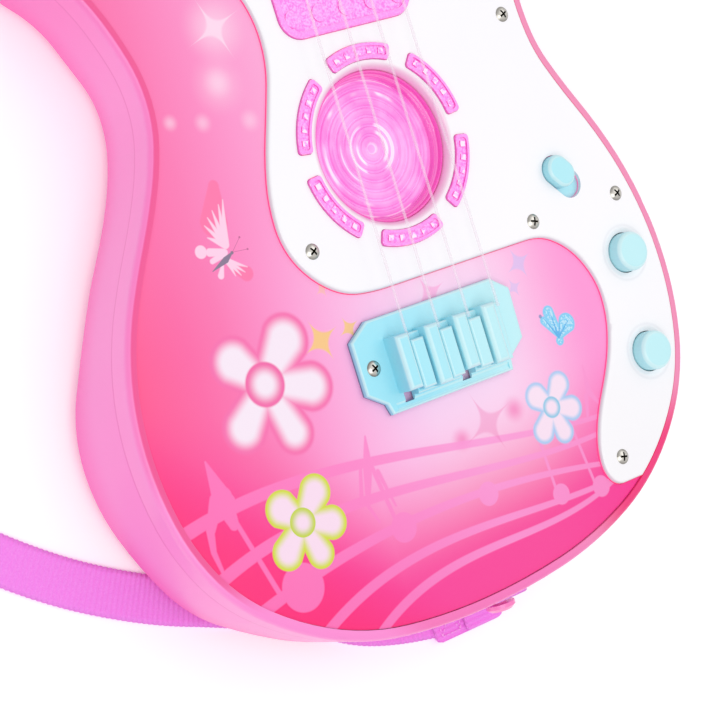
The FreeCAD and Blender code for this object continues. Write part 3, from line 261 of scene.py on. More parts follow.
# each flower: middle, middle's radius, and petals (x, y, radius)
WHITE_FLOWER = ((-62.2, -54.6), 6.4, [(-51.9, -44.7, 8.0), (-69.8, -46.1, 7.7),
                (-47.9, -59.3, 7.3), (-57.6, -70.0, 6.4), (-72.6, -64.2, 7.2)])
YELLOW_FLOWER = ((-63.9, -94.5), 4.2, [(-57.2, -87.7, 5.2), (-68.9, -89.1, 5.6),
                 (-54.8, -97.5, 5.0), (-61.2, -104.4, 4.5), (-71.3, -100.9, 5.1)])
BLUE_FLOWER = ((32.1, -90.3), 3.3, [(37.2, -84.5, 4.1), (27.8, -85.7, 4.4),
               (39.4, -92.7, 4.0), (34.0, -98.6, 3.7), (26.7, -96.1, 4.1)])
# the five staff lines from the top one down, each y = a + b x + c x2 + d x3. A separate program
# fitted these coefficients to listed places. report.md lists them as a rule not met.
STAFF = [(-91.6, -0.177, 0.00017, 0.0000135), (-99.9, -0.126, 0.00029, 0.000019),
         (-106.3, -0.066, -0.00163, 0.000002), (-116.0, -0.058, -0.00107, 0.00003),
         (-122.5, -0.011, -0.00094, 0.000064)]
# note stems and swirls (start, end, start radius, end radius), then note heads
STEMS = [((-87.7, -69.1), (-85.9, -81.5), 0.3, 3.6), ((-86.2, -80.0), (-85.0, -88.0), 3.4, 1.6),
         ((-84.6, -86.0), (-77.4, -112.0), 0.7, 0.8), ((-88.0, -80.0), (-92.4, -87.0), 2.2, 1.5),
         ((-92.6, -87.0), (-93.6, -93.0), 1.3, 0.9), ((-93.6, -93.0), (-92.6, -100.0), 0.9, 0.5),
         ((-35.6, -78.2), (-37.6, -86.0), 0.3, 1.6), ((-37.6, -86.0), (-41.5, -97.0), 1.7, 0.7),
         ((-36.8, -85.0), (-33.8, -105.0), 0.8, 0.7), ((-40.2, -86.0), (-42.8, -94.0), 0.6, 0.7),
         ((-42.8, -94.0), (-39.5, -102.5), 0.7, 0.4), ((-35.0, -89.0), (-32.5, -100.0), 0.8, 0.4),
         ((23.9, -97.0), (24.6, -114.0), 0.5, 0.5), ((37.0, -96.0), (39.6, -117.0), 0.5, 0.5),
         ((48.2, -81.8), (47.6, -90.0), 0.2, 1.1), ((47.6, -90.0), (50.4, -95.0), 1.1, 0.4),
         ((46.2, -91.0), (44.4, -97.0), 0.8, 0.5)]
HEADS = [((-70.0, -111.5), 6.9), ((-32.0, -106.8), 4.4), ((0.1, -107.3), 3.6),
         ((26.0, -116.0), 3.2), ((41.6, -118.6), 3.3)]
# soft spots: middle, radius, and share where it isn't the same for all
PALE_GLOWS = [((-47.8, 28.9), 10, 0.3), ((-47.6, 29.6), 5.5, 0.4), ((-66.3, 22.1), 3, 0.45),
              ((-56.2, 19.8), 3.5, 0.4), ((-41.1, 17.1), 4, 0.35), ((-43.4, 44.5), 12, 0.5),
              ((0.7, -44.5), 7, 0.25)]
DEEP_GLOWS = [((-3.4, -89.4), 4.5), ((18.2, -86.7), 5.0)]
# stars: middle, radius, power, colour and share
SPARKLES = [((-43.4, 44.5), 13, 0.36, "FFE6F6", 0.6), ((-40.2, -48.1), 7.5, 0.5, "F9C97C", 0.95),
            ((-29.9, -47.4), 4.5, 0.5, "F9C97C", 0.9), ((-34.8, -34.5), 3.0, 0.5, "F9C0A0", 0.6),
            ((36.0, -45.6), 6.0, 0.5, "D0C2F4", 0.65), ((31.6, -52.2), 3.8, 0.5, "D0C2F4", 0.55),
            ((7.7, -87.6), 13.0, 0.4, "F27DBB", 0.45), ((0.9, -45.8), 7.0, 0.5, "FF9FD8", 0.6)]


def add_flower(look, print_, flower, rim, heart, inner, soft, fade):
    """Egg-shaped petals, each with a coloured rim that fades inward, round an oval heart."""
    middle, size, petals = flower
    shapes = [look.capsule(middle, (x, y), size * 0.8, r) for x, y, r in petals]
    petal = look.union(shapes)
    print_ = look.blend(print_, rim, look.step(petal, soft, -soft))
    print_ = look.blend(print_, inner, look.step(petal, -soft * 0.6, -fade))
    eye = look.disc(middle, size)
    print_ = look.blend(print_, heart, look.step(eye, soft * 0.6, -soft * 0.6))
    return look.blend(print_, inner, look.step(eye, -soft * 0.6, -fade))


def add_white_butterfly(look, print_):
    """A rose wing behind pale fingers and dots, then the grey body and its feelers."""
    dark = look.union([look.capsule((-62.3, -7.2), (-59.0, 2.2), 4.4, 1.7),
                       look.capsule((-62.0, -8.0), (-61.1, -14.7), 4.0, 1.0),
                       look.capsule((-61.2, -20.3), (-57.2, -23.6), 1.2, 2.2)])
    print_ = look.blend(print_, "FF6FA6", look.step(dark, 0.35, -0.35) * 0.85)
    fingers = [((-57.5, -2.1), 1.3), ((-59.3, -3.1), 1.3), ((-61.8, -4.2), 1.3),
               ((-63.9, -5.7), 1.2), ((-65.6, -7.6), 1.2), ((-65.8, -11.0), 1.3)]
    pale = [look.capsule((-61.0, -14.2), tip, width, 0.15) for tip, width in fingers]
    pale += [look.capsule((-62.0, -16.2), (-66.6, -15.0), 1.1, 1.2),
             look.disc((-69.2, -14.2), 1.9),
             look.capsule((-62.6, -16.6), (-66.6, -17.6), 1.0, 0.8),
             look.capsule((-63.9, -19.6), (-65.3, -22.1), 0.5, 1.0)]
    pale += [look.capsule((-61.9, -18.7), tip, 0.9, 0.12)
             for tip in ((-56.3, -21.9), (-57.5, -23.1), (-59.0, -23.6), (-60.8, -23.3))]
    print_ = look.blend(print_, "FFD3EC", look.step(look.union(pale), 0.2, -0.25) * 0.95)
    body = look.union([look.capsule((-60.3, -17.2), (-62.3, -18.3), 0.4, 0.95),
                       look.capsule((-62.3, -18.3), (-67.5, -20.3), 0.95, 0.08),
                       look.disc((-59.7, -16.9), 0.5)])
    print_ = look.blend(print_, "84728F", look.step(body, 0.12, -0.12))
    feelers = look.union([look.capsule((-59.5, -16.8), (-55.9, -13.4), 0.06, 0.06),
                          look.capsule((-59.5, -16.8), (-54.5, -17.2), 0.06, 0.06),
                          look.disc((-55.9, -13.4), 0.3), look.disc((-54.5, -17.2), 0.3)])
    return look.blend(print_, "B0507E", look.step(feelers, 0.1, -0.1) * 0.8)


def add_blue_butterfly(look, print_):
    """Three blue wings with a pale web and darker veins."""
    wings = look.union([look.capsule((43.0, -69.8), (41.4, -62.8), 1.3, 2.1),
                        look.capsule((43.6, -70.4), (46.9, -67.9), 1.5, 3.3),
                        look.capsule((42.4, -70.0), (38.8, -64.8), 1.0, 1.4),
                        look.disc((42.6, -72.2), 1.5)])
    print_ = look.blend(print_, "7FD0F5", look.step(wings, 0.2, -0.2))
    web = look.noise(1.6, 2.0)
    pale = look.step(wings, -0.25, -1.1) * look.step(web, 0.42, 0.6)
    print_ = look.blend(print_, "CDEEFC", pale * 0.85)
    veins = look.union([look.capsule((42.6, -71.0), end, 0.45, 0.08)
                        for end in ((42.0, -63.0), (44.8, -66.4), (48.2, -67.0), (39.0, -64.0))])
    print_ = look.blend(print_, "3FA9E8", look.step(veins, 0.1, -0.15) * 0.8)
    return look.blend(print_, "2E86B8", look.step(look.disc((38.0, -63.2), 0.55), 0.2, -0.1) * 0.7)


def panel_ground(look):
    """Rose at the left, pale pink at the middle, and a deep rose that gathers at the tail."""
    x, y, _ = look.xyz()
    print_ = look.ramp((x + 100) / 110, [
        (0.0, "FE4F90"), (0.16, "FC5DA3"), (0.27, "FB6FB0"), (0.38, "FC86C3"), (0.49, "FD9CD4"),
        (0.60, "FDB0E0"), (0.71, "FDC3EB"), (0.82, "FDD0F0"), (1.0, "FED6F2")])
    print_ = look.blend(print_, "FF96D6", look.step(x, 14, 58))
    print_ = look.blend(print_, "FD7DB9", look.step(y, -46, 4) * 0.32)
    print_ = look.blend(print_, "FC6BA8", look.step(y, 60, 130) * 0.5)
    for spot, radius, share in PALE_GLOWS:
        print_ = look.blend(print_, "FFEAF8", look.glow(spot, radius) * share)
    for spot, radius in DEEP_GLOWS:
        print_ = look.blend(print_, "F67DBE", look.glow(spot, radius) * 0.75)
    lean = x.times_plus(0.08, 3.2).most(x.times_plus(-0.64, -23.6))
    deep = look.step(y - lean, -82, -129) * 0.95
    print_ = look.blend(print_, "FB2394", deep)
    return look.blend(print_, "FF0A74", look.step(x + y, -152, -192) * 0.85)


def panel_look():
    """The printed front: its ground, then the staff with notes, sparkles, flowers, butterflies."""
    look = Look("panel_print", Roughness=0.24, Coat_Weight=0.2, Coat_Roughness=0.06)
    x, y, _ = look.xyz()
    print_ = panel_ground(look)
    # the staff: bands wide at the left and narrow at the right, with bars, stems and heads
    half = x.times_plus(-0.0085, 1.15).most(0.75)
    lines = []
    for a, b, c, d in STAFF:
        curve = x.times_plus(d, c)
        curve = look.math("MULTIPLY_ADD", curve, x, b)
        curve = look.math("MULTIPLY_ADD", curve, x, a)
        lines.append((y - curve).size() - half)
    notes = [look.capsule(*stem) for stem in STEMS] + [look.disc(*head) for head in HEADS]
    staff = look.union(lines + notes)
    pale = look.ramp((x + 100) / 160, [(0.0, "FF72BD"), (0.4, "FD80C8"), (0.65, "FD98D8"),
                                       (1.0, "FC92CF")])
    print_ = look.blend(print_, pale, look.step(staff, 0.3, -0.3) * 0.85)
    for spot, radius, power, tint, share in SPARKLES:
        print_ = look.blend(print_, tint, look.sparkle(spot, radius, power) * share)
    print_ = add_flower(look, print_, WHITE_FLOWER, "F86AAE", "F463A8", "F9EAF7", 0.7, 4.4)
    print_ = add_flower(look, print_, YELLOW_FLOWER, "D3DE2E", "C4D542", "FADDF0", 0.22, 3.0)
    print_ = add_flower(look, print_, BLUE_FLOWER, "A9CDF3", "93CBE8", "FBE3F4", 0.4, 1.9)
    print_ = add_white_butterfly(look, print_)
    print_ = add_blue_butterfly(look, print_)
    # painted shade on the panel's upright edge walls
    print_ = look.blend(print_, "D81F68", look.step(look.upward(), 0.6, 0.3))
    look.set("Base Color", print_)
    look.bump(look.noise(1.2, 2.0), 0.015)
    return look


# ---- the other plastics ------------------------------------------------------------------------

def casing_look():
    """Bubble-gum pink shells with painted light and shade: the side darker toward the horn and the
    back, a darker parting seam, and the rim's tone set by place, redder at the left and deepest at
    the lower right, with a painted shadow line at its inner edge on the left.
    """
    look = plastic("casing_pink", "FF86C8", 0.38, 0.12)
    x, y, z = look.xyz()
    skin = look.blend("FD8ED1", "FE99D8", look.noise(0.02, 2.0))
    # painted shade: the side is painted darker toward the horn, then toward the back
    skin = look.blend(skin, "FB72C0", look.step(y, 30, 75) * 0.7)
    skin = look.blend(skin, "FF64B8", look.step(z, 14, 0) * 0.85)
    # painted light and shade on the rim: its tone changes by place to follow how the light falls,
    # redder at the left, paler at the tail and deepest at the lower right
    rim = look.blend("FF84C9", "F78FBA", look.step(x, -40, 50))
    rim = look.blend(rim, "F57AC0", look.step(y, 40, 90) * look.step(x, 0, -30))
    rim = look.blend(rim, "FA78BE", look.step(y + x * 0.5, -100, -140))
    rim = look.blend(rim, "FF8FD6", look.step(x + y, -168, -184))
    rim = look.blend(rim, "F5337D", look.step(y - x * 0.2, -112, -127) * look.step(x, 30, 50))
    # painted shade along the parting seam between the two shells
    skin = look.blend(skin, "E668B0", look.step((z - PARTING).size(), 0.45, 0.1) * 0.5)
    skin = look.blend(skin, rim, look.step(z, RIM_TOP - 1.8, RIM_TOP - 0.3))
    # a painted shadow line at the rim's inner top edge on the left, where the rim meets the panel
    inner = look.step(z, RIM_TOP - 0.2, RIM_TOP - 0.01)
    inner = inner * look.step(x, -22, -42) * look.step(y, -116, -98)
    look.set("Base Color", look.blend(skin, "F0357F", inner * 0.75))
    return look


def guard_look():
    """White gloss plastic with painted shade on its sloped edges and round the buttons, and a
    painted pink reflection on the funnel and on the foot, away from the buttons, where it also
    glows.
    """
    look = plastic("guard_white", "FBF9FE", 0.22, 0.4, tone=0.3)
    _, _, z = look.xyz()
    skin = look.blend("FAF9FE", "FFFEFF", look.noise(0.02, 2.0))
    # painted shade on the guard's sloped edges
    skin = look.blend(skin, "CFCDD8", look.step(look.upward(), 0.985, 0.6) * 0.5)
    # a painted shade ring just outside each button's dish
    for middle in BUTTONS:
        ring = look.disc(middle, BUTTON_RING).size()
        skin = look.blend(skin, "D9DAE3", look.step(ring, 0.8, 0.0) * 0.25)
    funnel = look.disc((0, 0), FUNNEL_RADIUS)
    # painted pink reflection on the speaker funnel's rounded edge
    skin = look.blend(skin, "FBC0E2", look.step(funnel, 0.2, -1.9) * 0.9)
    # the foot: a painted pink reflection of the panel in the gap under the guard, made to glow
    # with emission though the guard is no lamp
    foot = look.step(z, PANEL_TOP + 0.55, PANEL_TOP + 0.2) * look.step(funnel, 0.2, 1.0)
    for middle in BUTTONS:
        foot = foot * look.step(look.disc(middle, BUTTON_RING), 0.4, 1.0)
    look.set("Base Color", look.blend(skin, "FF4F97", foot))
    look.set("Emission Color", look.blend("000000", "FF5F9E", foot))
    look.shader.inputs["Emission Strength"].default_value = 0.5
    return look


def lens_look():
    """Magenta-pink plastic with a painted glow: painted shade on its walls, a pebbled floor and
    painted highlights on its bosses.
    """
    # a painted glow: emission of the lens's own colour, though the lens is no lamp
    look = Look("lens_pink", "F78AE2", Roughness=0.14, Coat_Weight=0.7, Coat_Roughness=0.04,
                Emission_Strength=0.2)
    _, y, z = look.xyz()
    pebble = look.noise(1.4, 3.0)
    skin = look.blend("F274DC", "FEA9EE", look.step(pebble, 0.36, 0.66))
    border = look.step(z, WINDOW_TOP - 0.13, WINDOW_TOP - 0.06)
    skin = look.blend(skin, "F78AE2", border * 0.7)
    # painted highlights: bright glints on some of the bosses, fewer on the pickup lens
    boss_highlight = look.step((z - (WINDOW_TOP - 0.15)).size(), 0.07, 0.03)
    boss_highlight = boss_highlight * look.step(look.noise(0.55, 2.0), 0.46, 0.56) * look.step(y, 32, 28).most(0.25)
    skin = look.blend(skin, "FFE6FA", boss_highlight * 0.8)
    # painted shade on the lens's sloped walls
    skin = look.blend(skin, "E455B8", look.step(look.upward(), 0.85, 0.35))
    look.set("Base Color", skin)
    look.set("Emission Color", skin)
    look.bump(pebble, 0.22, 0.6)
    return look


# painted highlight arcs (pale) and painted shade arcs (dark) on the dish's rings: radius, half
# width, colour and where the drift lets them show
DISH_HIGHLIGHT_AND_SHADE_ARCS = [(1.6, 0.5, "FFE6FB", 0.30), (5.2, 0.7, "FFF2FE", 0.36), (7.4, 0.6, "FFF2FE", 0.34),
             (9.8, 0.35, "EE80D8", 0.45), (11.2, 0.4, "FFD9F8", 0.48),
             (14.0, 0.35, "E97FDB", 0.40), (16.8, 0.7, "FFF2FE", 0.44),
             (19.4, 0.4, "EE7AD4", 0.36), (20.4, 0.35, "FFDDF8", 0.40)]


def dish_look():
    """The speaker dish with a painted glow: painted highlight and shade arcs on its rings, a deep
    magenta stepped wall and a painted highlight on its ledge.
    """
    # a painted glow: emission of the dish's own colour, though the dish is no lamp
    look = Look("dish_pink", "F8A5E6", Roughness=0.12, Coat_Weight=0.6, Coat_Roughness=0.03,
                Emission_Strength=0.14)
    reach = look.disc((0, 0), 0)
    skin = look.blend("F284DC", "F8A8EA", look.step(look.noise(0.09, 2.0), 0.35, 0.65))
    swirl = look.noise(0.055, 2.0, (1.6, 1, 1))
    # painted highlights and shade on the rings, broken up by the drift
    for radius, width, tint, low in DISH_HIGHLIGHT_AND_SHADE_ARCS:
        painted_arc = look.step((reach - radius).size(), width, width * 0.35)
        skin = look.blend(skin, tint, painted_arc * look.step(swirl, low, low + 0.12) * 0.9)
    skin = look.blend(skin, "F04CB8", look.step(reach, DISH_WALL - 0.1, DISH_WALL + 0.3) * 0.92)
    # a painted highlight on the ledge at the top of the wall
    ledge_highlight = look.step((reach - (DISH_WALL + 0.55)).size(), 0.2, 0.05)
    skin = look.blend(skin, "FC9CDC", ledge_highlight * 0.7)
    look.set("Base Color", skin)
    look.set("Emission Color", skin)
    look.bump(look.noise(0.5, 2.0), 0.05, 0.5)
    return look


def aqua_look(name, left, right, foot=0.0):
    """Aqua plastic that drifts across the guitar, with a painted highlight on its edges, painted
    shade on its walls and a painted contact shadow at its seat.
    """
    look = plastic(name, left, 0.36, 0.2)
    x, _, z = look.xyz()
    tone = look.blend(left, right, look.step(x, -32, 24))
    skin = look.blend(tone, "D2F9FC", look.noise(0.08, 2.0) * 0.25)
    level = look.upward().size()
    # painted shade on upright walls
    skin = look.blend(skin, "7CD6EA", look.step(level, 0.4, 0.1) * 0.3)
    # a painted highlight on the rounded edges
    edge = look.step(level, 0.3, 0.5) * look.step(level, 0.98, 0.9)
    skin = look.blend(skin, "DCFBFD", edge * 0.6)
    # a painted contact shadow at the seat, where the part meets the face below it
    look.set("Base Color", look.blend(skin, "4A3F78", look.step(z, foot + 0.9, foot + 0.2) * 0.85))
    return look


def screw_look():
    """Nickel with painted shade: grey round the edge of its dome and dark on the cross's level
    floor and walls.
    """
    look = metal("screw_nickel", "E9E6DD", 0.3)
    level = look.upward().size()
    # painted shade: grey round the edge of the dome
    skin = look.blend("6E6B66", "E4E1D8", look.step(level, 0.72, 0.93))
    # painted shade in the cross recess: dark on its level floor and on its walls
    floor = look.step(level, 0.998, 0.9995)
    cross_wall_shade = look.step(level, 0.3, 0.1)
    look.set("Base Color", look.blend(skin, "17140D", floor.most(cross_wall_shade)))
    return look


def strap_look():
    """Magenta webbing: cross ribs in the mesh, and the weave's fine bumps."""
    look = Look("strap_webbing", "F573EC", Roughness=0.75, Sheen_Weight=0.5,
                Sheen_Roughness=0.4)
    grain = look.noise(2.2, 3.0)
    look.set("Base Color", look.blend("F474EC", "FF9FF8", grain))
    look.bump(look.noise(3.0, 2.0), 0.12, 0.8)
    return look


def metal(name, base, roughness):
    """Bare metal with fine streaks in its sheen."""
    look = Look(name, base, Metallic=1.0, Roughness=roughness)
    streak = look.noise(0.8, 4.0, (1, 6, 1))
    look.set("Roughness", streak.times_plus(0.1, roughness - 0.05))
    look.bump(streak, 0.01)
    return look


def fretboard_look():
    """White plastic with a faint grain along the neck."""
    look = plastic("fretboard_white", "FAF7FD", 0.3, 0.3)
    look.set("Base Color", look.blend("F8F4FC", "FFFDFF", look.noise(0.05, 3.0, (1, 0.2, 1))))
    return look


def board_look():
    """Green circuit board with paler tracks."""
    look = plastic("circuit_green", "2C7A45", 0.4, 0.3)
    tracks = look.step(look.noise(0.35, 1.0, (1, 0.2, 1)), 0.5, 0.53)
    look.set("Base Color", look.blend("1F6336", "48A065", tracks))
    return look


looks = {
    "casing": casing_look(), "panel": panel_look(), "guard": guard_look(),
    "lens": lens_look(), "dish": dish_look(),
    "aqua": aqua_look("aqua_plastic", "98E9FB", "C2F4FA"),
    "bridge": aqua_look("aqua_bridge", "98E9FB", "C2F4FA", PANEL_TOP),
    "knob": aqua_look("aqua_knob", "96E8F7", "B0EFF9"),
    "dome": plastic("dome_rubber", "D8D8DA", 0.7, 0.0),
    "speaker_basket": metal("basket_steel", "B8B8BC", 0.35),
    "speaker_paper": plastic("cone_paper", "17171B", 0.8, 0.0, grain=0.15),
    "speaker_magnet": metal("magnet_iron", "5A5A60", 0.5),
    "board": board_look(), "switch": plastic("switch_black", "1B1B1E", 0.5, 0.1),
    "led": plastic("lamp_clear", "FFFBE8", 0.1, 0.6),
    "screw": screw_look(),
    "door_screw": metal("screw_flat", "DCDAD2", 0.18),
    "string": plastic("string_nylon", "FDF1FB", 0.2, 0.3, Alpha=0.26),
    "contact": metal("contact_steel", "C9C9CC", 0.3),
    "battery_case": plastic("tray_pink", "F07FB6", 0.45, 0.1),
    "battery_door": casing_look(), "cell": plastic("cell_wrap", "3C5C9E", 0.3, 0.4),
    "lead": plastic("lead_rubber", "B02430", 0.5, 0.1),
    "neck": plastic("neck_pink", "FF8ACB", 0.3, 0.4),
    "head_face": plastic("head_pink", "FF6FB2", 0.24, 0.5),
    "fretboard": fretboard_look(), "fret": plastic("fret_pale", "F3C4E4", 0.25, 0.4),
    "post": plastic("post_aqua", "9FE6F0", 0.25, 0.4),
    "key": plastic("key_aqua", "A5EAF3", 0.3, 0.3),
    "lug": plastic("lug_pink", "FF86C6", 0.3, 0.4),
    "strap": strap_look(), "thread": plastic("strap_thread", "FFB4F8", 0.7, 0.0),
    "strap_fitting": plastic("fitting_magenta", "F07AE8", 0.45, 0.1),
}
# nodes whose look isn't their material slot's
OWN_LOOKS = {"speaker_dish": "dish", "battery_door_screw": "door_screw", "bridge": "bridge",
             "slide_knob": "knob"}
for row in frame["record"]["subparts"]:
    name = row["node"]
    key = OWN_LOOKS.get(name, row["material_slot"])
    thing = nodes[name]
    thing.data.materials.clear()
    thing.data.materials.append(looks[key].material)

# ---- the strap ---------------------------------------------------------------------------------

STRAP_WIDTH, STRAP_THICK, STRAP_LIFT = 14 * MM, 1.2 * MM, 0.05 * MM
STRAP_COLUMNS = 8
# webbing in metres: rows of mesh along it make ribs across it, and its edges are scalloped
ROW_PITCH, ROWS_PER_RIB, RIB_DEPTH, EDGE_DEPTH = 0.4 * MM, 4, 0.16 * MM, 0.1 * MM
PATCH_HALF_THICK, PATCH_CORNER, PATCH_COLUMNS = 0.6 * MM, 1.6 * MM, 28
# a lug hole's radius and the margin drawn onto its edge, in millimetres
LUG_HOLE, HOLE_MARGIN = 2.6, 0.45
# a stitch's half sizes in metres, and the pitch of stitches in millimetres
STITCH, STITCH_PITCH = (0.55 * MM, 0.2 * MM, 0.16 * MM), 1.5
STRAP_ROUTE = [
    (0, -142.2), (-29, -138.5), (-53, -124.5), (-77, -113), (-103, -103), (-133, -85),
    (-166, -55), (-192, -10), (-207, 44), (-210, 100), (-200, 154), (-170, 198), (-126, 221),
    (-86, 212), (-64, 182), (-60, 148),
]


def smooth_line(name, points):
    """The points that a NURBS line through control points passes."""
    line = bpy.data.curves.new(name, "CURVE")
    line.dimensions = "3D"
    line.resolution_u = 24
    spline = line.splines.new("NURBS")
    spline.points.add(len(points) - 1)
    for point, spot in zip(spline.points, points):
        point.co = (*spot, 1)
    spline.order_u = 3
    spline.use_endpoint_u = True
    thing = bpy.data.objects.new(name, line)
    bpy.context.collection.objects.link(thing)
    mesh = bpy.data.meshes.new_from_object(thing)
    spots = [v.co.copy() for v in mesh.vertices]
    bpy.data.objects.remove(thing)
    bpy.data.meshes.remove(mesh)
    return spots


def along(points, pitch):
    """Spots at an even pitch along a run of points, with their directions."""
    spots, spare = [], 0.0
    for start, end in zip(points, points[1:]):
        run = (end - start).length
        if run == 0:
            continue
        way = (end - start) / run
        while spare < run:
            spots.append((start + way * spare, way))
            spare += pitch
        spare -= run
    return spots


def dip(row):
    """0 on the crest of a rib of webbing, and 2 in the groove between two ribs."""
    return 1 - math.cos(2 * math.pi * row / ROWS_PER_RIB)


def patch_rows(bm, spots, across, hole):
    """Rows of (middle, upper vertex, lower vertex), drawn in at the rounded corners."""
    low, high = (x * MM for x in across)
    middle, half, last = (low + high) / 2, (high - low) / 2, len(spots) - 1
    rows = []
    for number, spot in enumerate(spots):
        way = (spots[min(number + 1, last)] - spots[max(number - 1, 0)]).normalized()
        out = Vector((0, -way.z, way.y))
        thick = PATCH_HALF_THICK - RIB_DEPTH * dip(number)
        reach, end = half, min(number, last - number) * ROW_PITCH
        if end < PATCH_CORNER:
            reach -= PATCH_CORNER - math.sqrt(PATCH_CORNER ** 2 - (PATCH_CORNER - end) ** 2)
        row = []
        for column in range(PATCH_COLUMNS + 1):
            where = Vector((middle + reach * (2 * column / PATCH_COLUMNS - 1), spot.y, spot.z))
            if hole and abs(way.z) > 0.9:
                away = Vector((where.x - hole[0] * MM, 0, where.z - hole[1] * MM))
                if 0 < away.length < (hole[2] + HOLE_MARGIN) * MM:
                    where = where - away + away.normalized() * hole[2] * MM
            row.append((where, bm.verts.new(where + out * thick),
                        bm.verts.new(where - out * thick)))
        rows.append(row)
    return rows


def in_hole(rows, row, column, hole):
    """Whether the middle of a cell of the patch lies in its hole."""
    centre = sum((rows[row + a][column + b][0] for a in (0, 1) for b in (0, 1)), Vector()) / 4
    return Vector((centre.x - hole[0] * MM, centre.z - hole[1] * MM)).length < hole[2] * MM


def patch(name, across, route, hole=None):
    """A ribbed piece of webbing whose middle line runs along (y, z) spots in millimetres.

    across gives its two edges in x. Its four corners are rounded, and hole is (x, z, radius).
    """
    line = [Vector((0, y, z)) * MM for y, z in route]
    bm = bmesh.new()
    rows = patch_rows(bm, [spot for spot, _ in along(line, ROW_PITCH)], across, hole)
    cells = {(row, column) for row in range(len(rows) - 1) for column in range(PATCH_COLUMNS)
             if not (hole and in_hole(rows, row, column, hole))}
    for row, column in cells:
        for side in (1, 2):
            corners = [rows[row][column][side], rows[row][column + 1][side],
                       rows[row + 1][column + 1][side], rows[row + 1][column][side]]
            bm.faces.new(corners if side == 1 else corners[::-1])
        for near, first, second in (((row - 1, column), (0, 0), (0, 1)),
                                    ((row, column + 1), (0, 1), (1, 1)),
                                    ((row + 1, column), (1, 1), (1, 0)),
                                    ((row, column - 1), (1, 0), (0, 0))):
            if near not in cells:
                a, b = (rows[row + r][column + c] for r, c in (first, second))
                bm.faces.new((a[1], b[1], b[2], a[2]))
    bmesh.ops.delete(bm, geom=[v for v in bm.verts if not v.link_faces], context="VERTS")
    bmesh.ops.recalc_face_normals(bm, faces=bm.faces)
    return finish_piece(name, bm, "strap")


def finish_piece(name, bm, look):
    """The mesh as a smooth piece that rides on the guitar."""
    mesh = bpy.data.meshes.new(name)
    bm.to_mesh(mesh)
    bm.free()
    thing = bpy.data.objects.new(name, mesh)
    bpy.context.collection.objects.link(thing)
    for face in mesh.polygons:
        face.use_smooth = True
    mesh.materials.append(looks[look].material)
    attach(thing, "guitar")
    return thing


def stitches(name, top, left, right, near, far):
    """A sewn square with a cross in it, as thread stitches that stand on the webbing."""
    corners = [(left, near), (right, near), (right, far), (left, far)]
    lines = list(zip(corners, corners[1:] + corners[:1])) + [(corners[0], corners[2]),
                                                             (corners[1], corners[3])]
    bm = bmesh.new()
    for start, end in lines:
        start, end = Vector((*start, top)), Vector((*end, top))
        run = end - start
        count = round(run.length / STITCH_PITCH)
        for number in range(count):
            spot = start + run * (number + 0.5) / count
            size = Matrix.Diagonal((*STITCH, 1))
            facing = Matrix.Rotation(math.atan2(run.y, run.x), 4, "Z")
            bmesh.ops.create_icosphere(bm, subdivisions=2, radius=1.0,
                                       matrix=Matrix.Translation(spot * MM) @ facing @ size)
    return finish_piece(name, bm, "thread")


def build_tabs():
    """The strap's sewn ends: each stands on its lug, bends outward and lies on the webbing."""
    tail = patch("tab_tail", (-3, 11), [(-140.2, 20.9), (-140.2, 6.5), (-140.8, 4.6),
                                        (-142.2, 3.5), (-144.5, 3.2), (-149.1, 3.2)],
                 (4, 14, LUG_HOLE))
    under = patch("tab_tail_under", (-14, 11), [(-149.1, 1.9), (-135.3, 1.9)])
    horn = patch("tab_horn", (-67, -53), [(138.4, 20.9), (138.4, 5.6), (139.0, 3.6),
                                          (140.6, 2.3), (143.0, 1.95), (159.9, 1.95)],
                 (-60, 14, LUG_HOLE))
    sewn = [stitches("stitches_tail", 2.6, -12.0, -4.6, -147.4, -137.0),
            stitches("stitches_horn", 2.65, -65.0, -55.0, 146.0, 158.0)]
    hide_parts("strap_tab_tail")
    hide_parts("strap_tab_horn")
    return [tail, under, horn, *sewn]


def build_strap():
    """Webbing ribbon: cross ribs and scalloped edges, all in the mesh."""
    low = STRAP_LIFT
    centre = smooth_line("strap_line", [(x * MM, y * MM, low + STRAP_THICK / 2)
                                        for x, y in STRAP_ROUTE])
    shares = [2 * column / STRAP_COLUMNS - 1 for column in range(STRAP_COLUMNS + 1)]
    bm = bmesh.new()
    rings = []
    for number, (spot, way) in enumerate(along(centre, ROW_PITCH)):
        side = Vector((-way.y, way.x, 0))
        groove = RIB_DEPTH * dip(number)
        top, bottom = low + STRAP_THICK - groove, low + groove
        reach = STRAP_WIDTH / 2 - EDGE_DEPTH * dip(number)
        rings.append([bm.verts.new((spot.x + side.x * reach * share,
                                    spot.y + side.y * reach * share, height))
                      for height, row in ((top, shares), (bottom, shares[::-1]))
                      for share in row])
    for first, second in zip(rings, rings[1:]):
        count = len(first)
        for i in range(count):
            j = (i + 1) % count
            bm.faces.new((first[i], first[j], second[j], second[i]))
    bm.faces.new(rings[0][::-1])
    bm.faces.new(rings[-1])
    bmesh.ops.recalc_face_normals(bm, faces=bm.faces)
    thing = finish_piece("strap_webbing", bm, "strap")
    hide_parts("strap")
    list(build_tabs())


build_strap()

# ---- bevels ------------------------------------------------------------------------------------

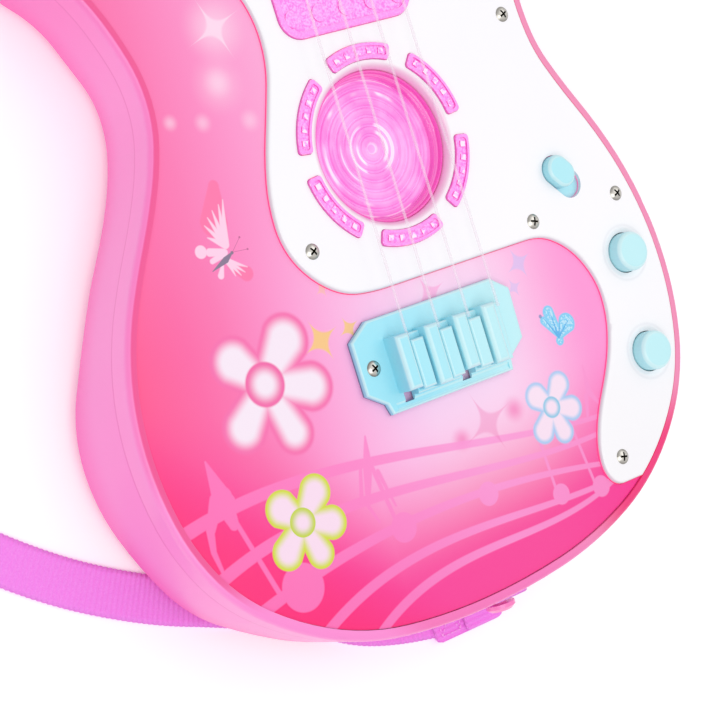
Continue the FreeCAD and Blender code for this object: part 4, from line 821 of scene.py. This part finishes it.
FINE_NODES = ("casing_screws", "neck_screws", "pickguard_screws", "bridge_screw",
              "battery_door_screw", "string_1", "string_2", "string_3", "string_4")
ROUND_EDGES = {"bridge": 0.6, "slide_knob": 0.5}
for name, thing in nodes.items():
    if name in FINE_NODES or name.startswith("strap"):
        continue
    bevel = thing.modifiers.new("soft_edges", "BEVEL")
    bevel.width = ROUND_EDGES.get(name, 0.25) * MM
    bevel.segments = 3 if name in ROUND_EDGES else 2
    bevel.limit_method = "ANGLE"
    bevel.angle_limit = math.radians(50)
    bevel.harden_normals = True

# ---- stage, light and camera -------------------------------------------------------------------

def area(name, place, target, size, power):
    """A square soft light aimed at a point."""
    data = bpy.data.lights.new(name, "AREA")
    data.energy, data.size = power, size
    thing = bpy.data.objects.new(name, data)
    thing.location = place
    thing.rotation_euler = (Vector(target) - Vector(place)).to_track_quat("-Z", "Y").to_euler()
    bpy.context.collection.objects.link(thing)


def build_stage():
    """A wide white floor that the guitar lies on."""
    mesh = bpy.data.meshes.new("floor")
    reach = 4.0
    mesh.from_pydata([(-reach, -reach, 0), (reach, -reach, 0), (reach, reach, 0),
                      (-reach, reach, 0)], [], [(0, 1, 2, 3)])
    floor = bpy.data.objects.new("floor", mesh)
    bpy.context.collection.objects.link(floor)
    paper = Look("floor_white", "FFFFFF", Roughness=0.6, Emission_Strength=0.15)
    paper.shader.inputs["Emission Color"].default_value = (1, 1, 1, 1)
    floor.data.materials.append(paper.material)


build_stage()
scene = bpy.context.scene
scene.view_settings.view_transform = "Standard"
world = bpy.data.worlds.new("studio")
scene.world = world
world.use_nodes = True
world.node_tree.nodes["Background"].inputs["Color"].default_value = (1, 0.985, 1, 1)
world.node_tree.nodes["Background"].inputs["Strength"].default_value = 0.66
area("key", (-0.7, -0.5, 1.5), (0, 0, 0), 1.2, 8.6)
area("fill", (0.9, 0.4, 1.3), (0, 0, 0), 1.4, 4.4)

camera_data = bpy.data.cameras.new("camera")
camera_data.lens, camera_data.sensor_width = 110, 36
camera_data.clip_start = 0.01
camera = bpy.data.objects.new("camera", camera_data)
# a separate program fitted this orientation and place: report.md lists them as a rule not met
right, up, back = (0.7844, -0.2950, 0.5456), (0.2818, 0.9531, 0.1101), (-0.5526, 0.0674, 0.8308)
turn = Matrix((right, up, back)).transposed().to_4x4()
camera.matrix_world = Matrix.Translation((-0.3778, -0.0146, 0.5541)) @ turn
bpy.context.collection.objects.link(camera)
scene.camera = camera
